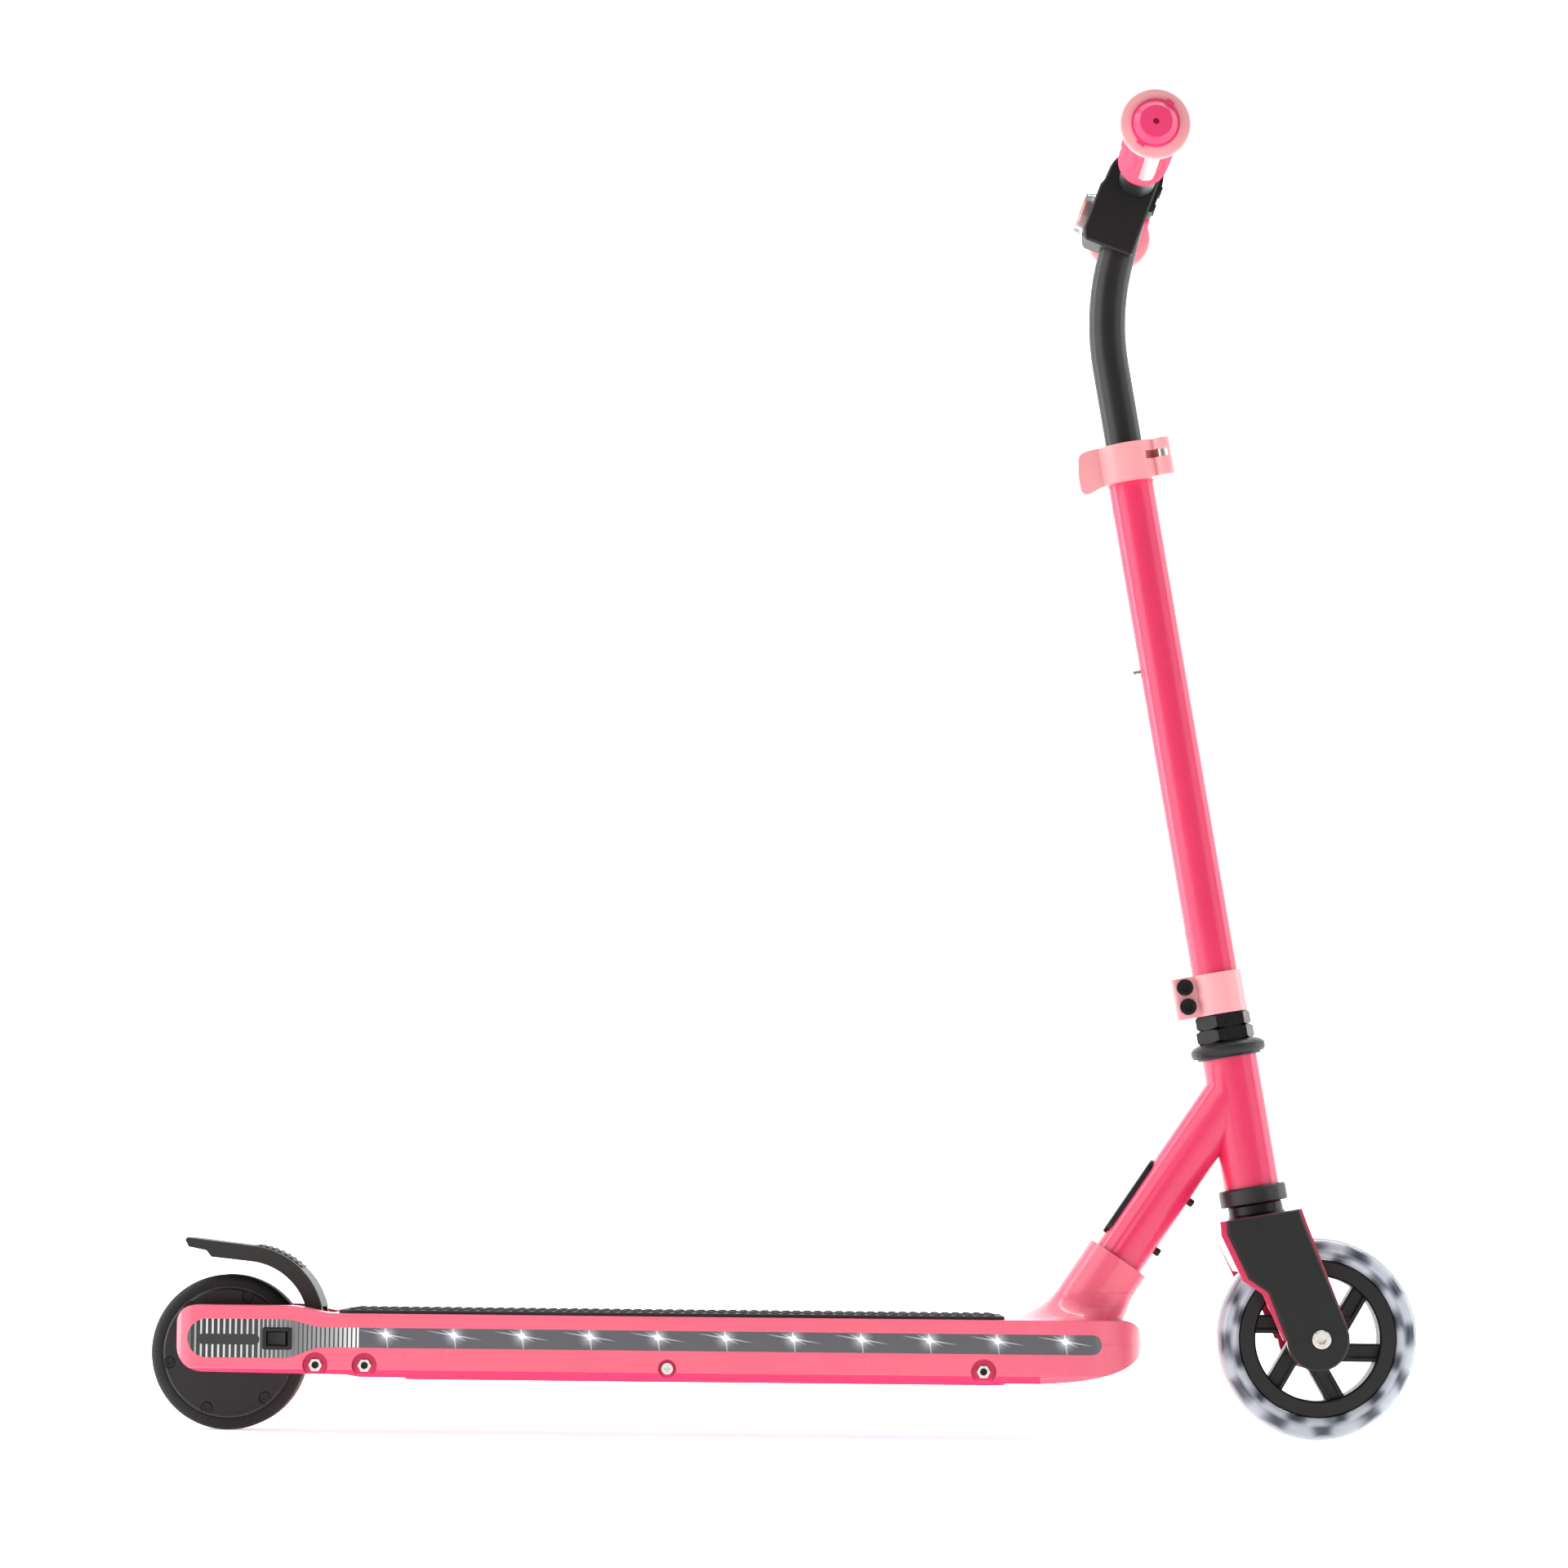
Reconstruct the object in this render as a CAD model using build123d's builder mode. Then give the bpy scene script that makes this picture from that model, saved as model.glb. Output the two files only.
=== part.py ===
"""Child's electric kick scooter: an assembly of separate pieces.

Frame: +X forward, +Y to the rider's left, +Z up. The origin lies on the ground,
under the middle of the overall length. All sizes are in millimetres.
"""
from build123d import *
from math import cos, pi, radians, sin, sqrt, tan
import os

os.makedirs("parts", exist_ok=True)

# ------------------------------------------------------------------ driving sizes
overall_length = 753.4
front_wheel_r = 60.5
rear_wheel_r = 46.0
rake = 10.0                 # lean of the steering column, degrees back from vertical
fork_offset = 22.5          # front axle ahead of the steering axis
running = 0.03              # radial clearance of a shaft or slide in its bore
air = 0.4                   # gap between pieces that move past each other

# deck, mid-plane outline and section
deck_half_width = 52.0
deck_top = 70.3
deck_bottom = 33.0
deck_side_bottom = 38.0     # where the vertical side turns in to the underside
shell_split = 56.2          # parting height of the upper and lower shells
wall = 3.0
pod_tail = 27.7             # pods reach this far behind the rear axle
pod_inner = 25.0            # half width of the wheel well
pod_top = 74.4
pod_bottom = 35.4
deck_rear = 66.7            # deck proper starts this far ahead of the rear axle
nose_gap = 104.0            # nose tip to front axle
nose_length = 47.0
band_bottom = 50.4          # light band let into both sides
band_top = 62.0
band_depth = 1.4
led_count = 11
led_pitch = 39.85

# steering column, distances s along the steering axis from the ground point
head_tube_r = 16.5
head_tube_bore = 14.5
head_s0 = 152.5
head_s1 = 230.8
crown_s = 135.2             # top of the fork crown
steerer_r = 11.8
steerer_top = 318.0
collar_s0 = 257.2
collar_height = 24.6
column_r = 13.6
column_s0 = collar_s0
column_s1 = 585.0
clamp_s0 = 581.5
clamp_height = 22.5
button_s = 467.1            # snap button, handlebar at its lowest setting
height_travel = 98.4        # distance between the two height holes

# handlebar
stem_r = 11.1
tube_wall = 1.6
stem_s0 = 430.0
bend_s = 652.9              # where the stem leaves the steering axis
bend_radius = 156.0
bend_angle = 24.5
stem_tail = 47.4            # straight run from the bend to the crossbar axis
bar_r = 11.1
bar_width = 390.0           # over the end caps
grip_inner_y = 72.6
grip_r = 14.4
grip_ring_r = 15.6
flange_r = 20.4
cap_r = 14.0

# neck
neck_angle = 34.0           # lean of the down tube from vertical
neck_joint_s = 212.2
down_tube_r = 15.4
neck_wall = 2.2
sleeve_r = 19.7
sleeve_top = -123.3         # along the down tube from where it meets the steering axis
seat_plate_z = 51.0

# ------------------------------------------------------------------ derived places
front_axle_x = overall_length / 2 - front_wheel_r
rear_axle_x = -overall_length / 2 + rear_wheel_r
steer_foot_x = front_axle_x - (fork_offset - front_wheel_r * sin(radians(rake))) / cos(radians(rake))
axle_s = front_wheel_r * cos(radians(rake)) - (front_axle_x - steer_foot_x) * sin(radians(rake))
pod_end_x = rear_axle_x - pod_tail
deck_rear_x = rear_axle_x + deck_rear
nose_x = front_axle_x - nose_gap
side_end_x = nose_x - nose_length

steer_dir = Vector(-sin(radians(rake)), 0, cos(radians(rake)))
steer_fwd = Vector(cos(radians(rake)), 0, sin(radians(rake)))
steer_foot = Vector(steer_foot_x, 0, 0)
steer = Plane(origin=steer_foot, x_dir=steer_fwd, z_dir=steer_dir)
steer_side = Plane(origin=steer_foot, x_dir=steer_fwd, z_dir=(0, -1, 0))
steer_axis = Axis(steer_foot, steer_dir)

neck_dir = Vector(sin(radians(neck_angle)), 0, cos(radians(neck_angle)))
neck_fwd = Vector(cos(radians(neck_angle)), 0, -sin(radians(neck_angle)))
neck_joint = steer_foot + steer_dir * neck_joint_s
neck = Plane(origin=neck_joint, x_dir=neck_fwd, z_dir=neck_dir)
neck_side = Plane(origin=neck_joint, x_dir=neck_fwd, z_dir=(0, -1, 0))

front_axle = Vector(front_axle_x, 0, front_wheel_r)
rear_axle = Vector(rear_axle_x, 0, rear_wheel_r)
front_hub = Plane(origin=front_axle, x_dir=(1, 0, 0), z_dir=(0, -1, 0))
rear_hub = Plane(origin=rear_axle, x_dir=(1, 0, 0), z_dir=(0, -1, 0))

pieces = {}


def group(*parts):
    """Separate pieces of one kind that share a node."""
    with BuildPart() as together:
        for piece in parts:
            add(piece)
    return together.part


# ------------------------------------------------------------------ deck envelope
def deck_envelope(inset):
    """The outer form of the deck and its two rear pods, shrunk by inset."""
    half = deck_half_width - inset
    tail_r = 12.0
    with BuildPart() as form:
        with BuildSketch(Plane.XY.offset(deck_side_bottom)) as plan:
            with BuildLine():
                l1 = Line((pod_end_x + inset, 0), (pod_end_x + inset, half - tail_r))
                l2 = TangentArc(l1 @ 1, (pod_end_x + inset + tail_r, half), tangent=(0, 1))
                l3 = Line(l2 @ 1, (side_end_x, half))
                l4 = EllipticalCenterArc((side_end_x, 0), nose_length - inset, half, start_angle=0, arc_size=90)
                l5 = Line((nose_x - inset, 0), (pod_end_x + inset, 0))
            make_face()
            mirror(about=Plane.XZ)
        extrude(amount=pod_top - deck_side_bottom + 5)
        extrude(plan.sketch, amount=-(deck_side_bottom - deck_bottom), taper=52)
        with BuildSketch(Plane.XY.offset(deck_bottom - 1)):
            with Locations(((pod_end_x + deck_rear_x) / 2 - 10, 0)):
                Rectangle(deck_rear_x - pod_end_x + 20 - 2 * wall + 2 * inset, 2 * (pod_inner + inset))
        extrude(amount=60, mode=Mode.SUBTRACT)
        top = deck_top - inset
        with BuildSketch(Plane.XZ):
            with BuildLine():
                t2 = Bezier((nose_x - inset, shell_split), (nose_x - inset, deck_bottom + inset + 10.0),
                            (nose_x - 22.0, deck_bottom + inset + 1.5), (side_end_x - 15, deck_bottom + inset))
                t3 = Polyline(t2 @ 1, (deck_rear_x + 14, deck_bottom + inset),
                              (deck_rear_x + 6, pod_bottom + inset - 1), (pod_end_x + 16, pod_bottom + inset))
                t4 = Spline(t3 @ 1, (pod_end_x + 1.2 + inset, rear_wheel_r), (pod_end_x + inset, rear_wheel_r + 5),
                            tangents=((-1, 0.1), (0, 1)))
                t5 = Line(t4 @ 1, (pod_end_x + inset, pod_top - inset - 12))
                t6 = TangentArc(t5 @ 1, (pod_end_x + inset + 12, pod_top - inset), tangent=(0, 1))
                t7 = Line(t6 @ 1, (rear_axle_x + 38, pod_top - inset))
                t8 = Spline(t7 @ 1, (deck_rear_x, top), tangents=((1, 0), (1, 0)))
                t9 = Line(t8 @ 1, (nose_x - 12, top))
                Spline(t9 @ 1, t2 @ 0, tangents=((1, -0.1), (0, -1)))
            make_face()
        extrude(amount=100, both=True, mode=Mode.INTERSECT)
    return form.part


outer_form = deck_envelope(0)
inner_form = deck_envelope(wall)
band_floor = deck_envelope(band_depth)

band_x0 = rear_axle_x + 80.5        # graphic panel ends and the light strip begins
band_x1 = nose_x - 26.1
graphic_x0 = pod_end_x + 7.6
band_mid = (band_bottom + band_top) / 2
band_height = band_top - band_bottom
led_x0 = rear_axle_x + 96.5
strip_reach = deck_half_width - 12      # the strips lie further out than this


def side_band(x0, x1, z0, z1, end_r, side):
    """A strip let flush into one side of the deck; side is -1 right, +1 left."""
    with BuildPart() as strip:
        with BuildSketch(Plane.XZ.offset(-side * strip_reach)):
            with Locations(((x0 + x1) / 2, (z0 + z1) / 2)):
                RectangleRounded(x1 - x0, z1 - z0, end_r)
        extrude(amount=-side * deck_half_width)
        add(outer_form, mode=Mode.INTERSECT)
        add(band_floor, mode=Mode.SUBTRACT)
    return strip.part


# Light strip: smoked lens, flush with the side, round at the nose end.
light_strips = {side: side_band(band_x0 - 8, band_x1, band_bottom, band_top, 5.8, side) for side in (-1, 1)}

# Graphic panel: wide rounded tail that narrows to the height of the light strip.
graphic_half = 11.3
graphic_neck_x = rear_axle_x + 35
graphic_waist_x = rear_axle_x + 61
graphic_mid = 55.2


def graphic_panel(side):
    """The printed panel of one pod, up to where the light strip begins."""
    with BuildPart() as panel:
        with BuildSketch(Plane.XZ.offset(-side * strip_reach)):
            with BuildLine():
                tail = CenterArc((graphic_x0 + graphic_half, graphic_mid), graphic_half, 90, 180)
                low = Line(tail @ 1, (graphic_neck_x, graphic_mid - graphic_half))
                low_s = Spline(low @ 1, (graphic_waist_x, band_bottom), tangents=((1, 0), (1, 0)))
                end = Polyline(low_s @ 1, (band_x0, band_bottom), (band_x0, band_top), (graphic_waist_x, band_top))
                top_s = Spline(end @ 1, (graphic_neck_x, graphic_mid + graphic_half), tangents=((-1, 0), (-1, 0)))
                Line(top_s @ 1, tail @ 0)
            make_face()
        extrude(amount=-side * deck_half_width)
        add(outer_form, mode=Mode.INTERSECT)
        add(band_floor, mode=Mode.SUBTRACT)
    return panel.part


panel_blanks = {side: graphic_panel(side) for side in (-1, 1)}
with BuildPart() as lenses:
    for side in (-1, 1):
        add(light_strips[side])
        add(panel_blanks[side], mode=Mode.SUBTRACT)
pieces["light_strips"] = lenses.part

# Rocker switch seat in the right panel and charging socket in the left one.
switch_x = rear_axle_x + 32.6
switch_w = 15.2
switch_h = 11.0
switch_depth = 14.0
port_x = rear_axle_x + 32.6
port_r = 6.0
port_depth = 14.0

with BuildPart() as switch_hole:
    with Locations((switch_x, -deck_half_width, graphic_mid)):
        Box(switch_w + 2 * air, 2 * switch_depth + 8, switch_h + 2 * air)
with BuildPart() as port_hole:
    with BuildSketch(Plane.XZ.offset(-deck_half_width - 5)):
        with Locations((port_x, graphic_mid)):
            Circle(port_r + air)
    extrude(amount=port_depth + 12)
with BuildPart() as panels:
    add(panel_blanks[-1])
    add(panel_blanks[1])
    add(switch_hole.part, mode=Mode.SUBTRACT)
    add(port_hole.part, mode=Mode.SUBTRACT)
pieces["graphic_panels"] = panels.part

# ------------------------------------------------------------------ neck fairing
sleeve_half_x = sleeve_r / cos(radians(neck_angle))


def neck_x(z):
    """Where the down tube's axis is at height z."""
    return neck_joint.X - (neck_joint.Z - z) * tan(radians(neck_angle))


def fairing_form(inset):
    """Sleeve round the down tube that flares into the deck's nose."""
    stations = ((deck_top - wall, 27.5, 4.0, 19.0), (deck_top + 0.6, 17.5, 3.6, 13.5), (deck_top + 4.2, 9.0, 2.8, 7.0),
                (deck_top + 9.0, 3.0, 1.2, 2.4), (deck_top + 16.0, 0.2, 0.2, 0.2))
    with BuildPart() as form:
        for z, rear_flare, front_flare, side_flare in stations:
            half_x = sleeve_half_x + (rear_flare + front_flare) / 2 - inset
            with BuildSketch(Plane.XY.offset(z)):
                with Locations((neck_x(z) + (front_flare - rear_flare) / 2, 0)):
                    Ellipse(half_x, sleeve_r + side_flare - inset)
        loft()
        with BuildSketch(neck.offset(sleeve_top)):
            Circle(sleeve_r - inset)
        extrude(amount=-65)
        with BuildSketch(Plane.XY.offset(deck_top - wall)):
            Rectangle(3 * overall_length, 400)
        extrude(amount=-200, mode=Mode.SUBTRACT)
    return form.part


fairing = fairing_form(0)
fairing_core = fairing_form(wall - 0.4)

with BuildPart() as tube_way:          # bore through the sleeve for the down tube
    with BuildSketch(neck.offset(sleeve_top - 90)):
        Circle(down_tube_r + 0.1)
    extrude(amount=130)

# ------------------------------------------------------------------ deck shells
fixing_x = (rear_axle_x + 55.0, rear_axle_x + 83.9, nose_x - 95.5)
mid_screw_x = rear_axle_x + 261.7
fixing_z = 39.9
nut_af = 7.0
bolt_r = 2.0
hinge_x = rear_axle_x + 53.0
hinge_z = 65.0
hinge_pin_r = 2.0
led_places = [led_x0 + led_pitch * n for n in range(led_count)]

with BuildPart() as recess_floor:
    with BuildSketch(Plane.XZ):
        with Locations(*[(x, fixing_z) for x in (*fixing_x, mid_screw_x)]):
            Circle(8.6)
    extrude(amount=deck_half_width - 4.2, both=True)
    with BuildSketch(Plane.XZ):
        with Locations(*[(x, fixing_z) for x in (*fixing_x, mid_screw_x)]):
            Circle(bolt_r)
    extrude(amount=deck_half_width, both=True, mode=Mode.SUBTRACT)
    with BuildSketch(Plane.XZ):
        with Locations(*[(x, fixing_z) for x in (*fixing_x, mid_screw_x)]):
            Circle(9)
    extrude(amount=deck_half_width - 4.2 - 2.6, both=True, mode=Mode.SUBTRACT)
    add(outer_form, mode=Mode.INTERSECT)

with BuildPart() as shell_blank:
    add(outer_form)
    add(fairing)
    add(inner_form, mode=Mode.SUBTRACT)
    add(fairing_core, mode=Mode.SUBTRACT)
    add(tube_way.part, mode=Mode.SUBTRACT)
    for side in (-1, 1):
        add(light_strips[side], mode=Mode.SUBTRACT)
        add(panel_blanks[side], mode=Mode.SUBTRACT)
    add(switch_hole.part, mode=Mode.SUBTRACT)
    add(port_hole.part, mode=Mode.SUBTRACT)
    with BuildSketch(Plane.XZ):                        # LED windows, both sides
        with Locations(*[(x, band_mid) for x in led_places]):
            Circle(2.7)
    extrude(amount=deck_half_width + 2, both=True, mode=Mode.SUBTRACT)
    with BuildSketch(Plane.XZ):                        # seats of the fender's hinge pin
        with Locations((hinge_x, hinge_z)):
            Circle(hinge_pin_r)
    extrude(amount=pod_inner + wall + 0.5, both=True, mode=Mode.SUBTRACT)
    with BuildSketch(Plane.XZ):                        # motor axle's passage
        with Locations((rear_axle_x, rear_wheel_r)):
            Circle(7.0)
    extrude(amount=pod_inner + wall + 0.5, both=True, mode=Mode.SUBTRACT)
    with BuildSketch(Plane.XZ):                        # round recesses of the side fixings
        with Locations(*[(x, fixing_z) for x in fixing_x]):
            Circle(7.2)
        with Locations((mid_screw_x, fixing_z)):
            Circle(5.2)
    extrude(amount=deck_half_width + 5, both=True, mode=Mode.SUBTRACT)
    add(recess_floor.part)

# The upper shell carries the deck, the rear half of the neck sleeve and the pod tops.
with BuildPart() as front_half:        # space in front of the sleeve's seam
    with BuildSketch(neck_side):
        Rectangle(60, 260, align=(Align.MIN, Align.MAX))
    extrude(amount=60, both=True)
    with BuildSketch(Plane.XY.offset(deck_top + 8.0)):
        Rectangle(3 * overall_length, 400)
    extrude(amount=-200, mode=Mode.SUBTRACT)

with BuildPart() as upper:
    add(shell_blank.part)
    with BuildSketch(Plane.XY.offset(shell_split)):
        Rectangle(3 * overall_length, 400)
    extrude(amount=-100, mode=Mode.SUBTRACT)
    add(front_half.part, mode=Mode.SUBTRACT)
pieces["deck_upper_shell"] = upper.part

with BuildPart() as neck_cover:
    add(shell_blank.part)
    add(front_half.part, mode=Mode.INTERSECT)
pieces["neck_front_cover"] = neck_cover.part

plate_thick = 3.0
plate_z1 = seat_plate_z - 4.0           # top of the deck plate, under the neck's seat plate
plate_half = 42.0

# The lower shell has the battery's opening, closed from below by a cover plate.
# Two ribs beside the opening carry the deck plate.
cover_x0 = rear_axle_x + 106.0
cover_x1 = nose_x - 82.0
cover_half = 37.0
lip = 4.0
with BuildPart() as lower:
    add(shell_blank.part)
    with BuildSketch(Plane.XY.offset(shell_split)):
        Rectangle(3 * overall_length, 400)
    extrude(amount=100, mode=Mode.SUBTRACT)
    with BuildSketch(Plane.XY.offset(deck_bottom - 5)):
        with Locations(((cover_x0 + cover_x1) / 2, 0)):
            RectangleRounded(cover_x1 - cover_x0 - 2 * lip, 2 * (cover_half - lip), 6)
    extrude(amount=wall + 6, mode=Mode.SUBTRACT)
    with BuildSketch(Plane.XY.offset(deck_bottom + wall - 0.5)):
        with Locations(*[((cover_x0 + cover_x1) / 2, y * (plate_half - 3.5)) for y in (-1, 1)]):
            Rectangle(cover_x1 - cover_x0, 2.4)
    extrude(amount=plate_z1 - plate_thick - deck_bottom - wall + 0.5)
pieces["deck_lower_shell"] = lower.part

cover_thick = 1.4
cover_head_r = 1.9      # screw heads sunk flush in the cover
cover_head = 0.9
cover_screws_at = [(x, y) for x in (cover_x0 + 10, (cover_x0 + cover_x1) / 2, cover_x1 - 10)
                   for y in (-cover_half + 3.2, cover_half - 3.2)]
with BuildPart() as bottom_cover:
    with BuildSketch(Plane.XY.offset(deck_bottom)):
        with Locations(((cover_x0 + cover_x1) / 2, 0)):
            RectangleRounded(cover_x1 - cover_x0, 2 * cover_half, 7)
    extrude(amount=-cover_thick)
    chamfer(bottom_cover.faces().sort_by(Axis.Z)[0].edges(), 0.8)
    with Locations(*[(x, y, deck_bottom - cover_thick) for x, y in cover_screws_at]):
        Cylinder(cover_head_r, cover_head, align=(Align.CENTER, Align.CENTER, Align.MIN), mode=Mode.SUBTRACT)
    with BuildSketch(Plane.XY.offset(deck_bottom)):
        with Locations(((cover_x0 + cover_x1) / 2, 0)):
            RectangleRounded(cover_x1 - cover_x0 - 2 * lip - 0.4, 2 * (cover_half - lip) - 0.4, 5.8)
            RectangleRounded(cover_x1 - cover_x0 - 2 * lip - 5, 2 * (cover_half - lip) - 5, 4, mode=Mode.SUBTRACT)
    extrude(amount=wall)
pieces["bottom_cover"] = bottom_cover.part

# ------------------------------------------------------------------ rubber mat
mat_x0 = deck_rear_x + 1.0
mat_x1 = nose_x - 83.0
mat_half = deck_half_width - 5.5
mat_thick = 2.5
with BuildPart() as mat:
    with BuildSketch(Plane.XY.offset(deck_top)):
        with Locations(((mat_x0 + mat_x1) / 2, 0)):
            RectangleRounded(mat_x1 - mat_x0, 2 * mat_half, 8)
    extrude(amount=mat_thick)
    chamfer(mat.faces().sort_by(Axis.Z)[-1].edges(), 0.8)
pieces["grip_mat"] = mat.part

# ------------------------------------------------------------------ deck internals
dropout_y = pod_inner + wall + 0.5      # inner face of the rear dropouts
dropout_thick = 4.0
dropout_r = 7.2
motor_axle_r = 4.0
plate_x1 = nose_x - 24.0
seat_x0 = neck_x(seat_plate_z) - 42.0
seat_x1 = plate_x1 - 3.0
seat_half = 24.0
seat_bolts = [(x, y) for x in (seat_x0 + 8, seat_x1 - 8) for y in (-17, 17)]

# Neck frame: head tube, down tube and seat plate, welded into one.
with BuildPart() as neck_frame:
    with BuildSketch(steer.offset(head_s0)):
        Circle(head_tube_r)
    extrude(amount=head_s1 - head_s0)
    with BuildSketch(neck):
        Circle(down_tube_r)
    extrude(amount=-230)
    with BuildSketch(Plane.XY.offset(seat_plate_z)):
        Rectangle(3 * overall_length, 400)
    extrude(amount=-200, mode=Mode.SUBTRACT)
    with BuildSketch(Plane.XY.offset(seat_plate_z)):
        with Locations(((seat_x0 + seat_x1) / 2, 0)):
            RectangleRounded(seat_x1 - seat_x0, 2 * seat_half, 5)
    extrude(amount=-(seat_plate_z - plate_z1))
    with BuildSketch(neck.offset(-head_tube_r * 1.6)):
        Circle(down_tube_r - neck_wall)
    extrude(amount=-(neck_joint_s * 0.9 - seat_plate_z), mode=Mode.SUBTRACT)
    with BuildSketch(steer):
        Circle(head_tube_bore)
    extrude(amount=head_s1 + 20, mode=Mode.SUBTRACT)
    with Locations(*[(x, y, seat_plate_z) for x, y in seat_bolts]):
        Hole(3.0)
pad_screws = (-71.5, -107.0)            # places of the two screws along the down tube
pad_centre = sum(pad_screws) / 2
with BuildPart() as pad_holes:
    with BuildSketch(Plane(origin=neck_joint, x_dir=neck_dir, z_dir=neck_fwd)):
        with Locations(*[(a, 0) for a in pad_screws]):
            Circle(2.0)
    extrude(amount=down_tube_r + 2, both=True)
with BuildPart() as drilled_neck:
    add(neck_frame.part)
    add(pad_holes.part, mode=Mode.SUBTRACT)
pieces["neck_frame"] = drilled_neck.part

# Deck plate: pressed steel floor that ends in two dropouts for the motor axle.
with BuildPart() as deck_plate:
    with BuildSketch(Plane.XY.offset(plate_z1)):
        with BuildLine():
            Polyline((plate_x1, 0), (plate_x1, 20), (plate_x1 - 20, plate_half), (deck_rear_x + 6, plate_half),
                     (deck_rear_x + 6, 0), close=True)
        make_face()
        mirror(about=Plane.XZ)
        with Locations(*[(deck_rear_x - 25, y * (dropout_y + dropout_thick / 2)) for y in (-1, 1)]):
            Rectangle(70, dropout_thick)
    extrude(amount=-plate_thick)
    for side in (-1, 1):
        with BuildSketch(Plane.XZ.offset(side * dropout_y)):
            with BuildLine():
                arc = CenterArc((rear_axle_x, rear_wheel_r), dropout_r, 90, 180)
                Polyline(arc @ 1, (deck_rear_x + 8, plate_z1 - plate_thick), (deck_rear_x + 8, plate_z1),
                         (rear_axle_x + 40, rear_wheel_r + dropout_r), arc @ 0)
            make_face()
        extrude(amount=side * dropout_thick)
    with BuildSketch(Plane.XZ):
        with Locations((rear_axle_x, rear_wheel_r)):
            Circle(motor_axle_r)
    extrude(amount=60, both=True, mode=Mode.SUBTRACT)
    with Locations(*[(x, y, plate_z1) for x, y in seat_bolts]):
        Hole(3.0)
pieces["deck_plate"] = deck_plate.part

with BuildPart() as seat_bolt_set:
    with Locations(*[(x, y, seat_plate_z) for x, y in seat_bolts]):
        Cylinder(5.0, 3.0, align=(Align.CENTER, Align.CENTER, Align.MIN))
        Cylinder(2.9, 10.0, align=(Align.CENTER, Align.CENTER, Align.MAX))
battery_x0 = rear_axle_x + 190.0
battery_x1 = seat_x0 - 12.0
with BuildPart() as battery:
    with BuildSketch(Plane.XY.offset(plate_z1)):
        with Locations(((battery_x0 + battery_x1) / 2, 0)):
            RectangleRounded(battery_x1 - battery_x0, 60, 5)
    extrude(amount=deck_top - wall - 0.6 - plate_z1)
    chamfer(battery.faces().sort_by(Axis.Z)[-1].edges(), 1.5)
pieces["battery_pack"] = battery.part

controller_x0 = rear_axle_x + 82.0
with BuildPart() as controller:
    with BuildSketch(Plane.XY.offset(plate_z1)):
        with Locations((controller_x0 + 42, 0)):
            RectangleRounded(84, 50, 3)
    extrude(amount=15)
    with Locations(*[(controller_x0 + 14 + 8 * n, 0, plate_z1 + 15) for n in range(8)]):
        Box(3, 44, 3, align=(Align.CENTER, Align.CENTER, Align.MIN))
pieces["motor_controller"] = controller.part

# LED boards: a strip of circuit board behind each lens, its chips in the windows.
board_y = deck_half_width - wall
boards = {}
for side in (-1, 1):
    with BuildPart() as board:
        with BuildSketch(Plane.XZ.offset(-side * board_y)):
            with Locations(((led_places[0] + led_places[-1]) / 2, band_mid)):
                Rectangle(led_places[-1] - led_places[0] + 16, 8)
        extrude(amount=side * 1.2)
        add(inner_form, mode=Mode.INTERSECT)
        with BuildSketch(Plane.XZ.offset(-side * board_y)):
            with Locations(*[(x, band_mid) for x in led_places]):
                Rectangle(3.2, 3.2)
        extrude(amount=-side * (wall - band_depth - 0.3))
    boards[side] = board.part
pieces["led_boards"] = group(*boards.values())

# Rocker switch: a fixed bezel with its body inside the pod, and the tilting cap.
rocker_w = 11.0
rocker_h = 7.6
with BuildPart() as bezel:
    with BuildSketch(Plane.XZ.offset(deck_half_width)):
        with Locations((switch_x, graphic_mid)):
            RectangleRounded(switch_w + 2.0, switch_h + 2.0, 1.2)
    extrude(amount=1.0)
    chamfer(bezel.faces().sort_by(Axis.Y)[0].edges(), 0.5)
    with BuildSketch(Plane.XZ.offset(deck_half_width - switch_depth)):
        with Locations((switch_x, graphic_mid)):
            Rectangle(switch_w, switch_h)
    extrude(amount=switch_depth)
    with BuildSketch(Plane.XZ.offset(deck_half_width - 9.0)):
        with Locations((switch_x, graphic_mid)):
            Rectangle(rocker_w + 4 * air, rocker_h + 2 * air)
    extrude(amount=20, mode=Mode.SUBTRACT)
    with BuildSketch(Plane.XY.offset(graphic_mid)):
        with Locations((switch_x, -(deck_half_width - 3.6))):
            Circle(0.8)
    extrude(amount=switch_h / 2 - 0.3, both=True, mode=Mode.SUBTRACT)
pieces["switch_bezel"] = bezel.part

rocker_tilt = 8.0
rocker_pivot_y = -(deck_half_width - 3.6)
with BuildPart() as rocker:
    with BuildSketch(Plane.XY.offset(graphic_mid - rocker_h / 2)):
        with BuildLine():
            Polyline((switch_x - rocker_w / 2, rocker_pivot_y - 3.4), (switch_x, rocker_pivot_y - 2.5),
                     (switch_x + rocker_w / 2, rocker_pivot_y - 3.4),
                     (switch_x + rocker_w / 2 - 1.2, rocker_pivot_y + 1.4),
                     (switch_x + 1.8, rocker_pivot_y + 2.2), (switch_x - 1.8, rocker_pivot_y + 2.2),
                     (switch_x - rocker_w / 2 + 1.2, rocker_pivot_y + 1.4), close=True)
        make_face()
    extrude(amount=rocker_h)
    with BuildSketch(Plane.XY.offset(graphic_mid)):
        with Locations((switch_x, rocker_pivot_y)):
            Circle(0.8 - running)
    extrude(amount=switch_h / 2 - 0.6, both=True)
pieces["rocker_cap"] = rocker.part.rotate(Axis((switch_x, rocker_pivot_y, graphic_mid), (0, 0, 1)), -rocker_tilt)

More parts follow.
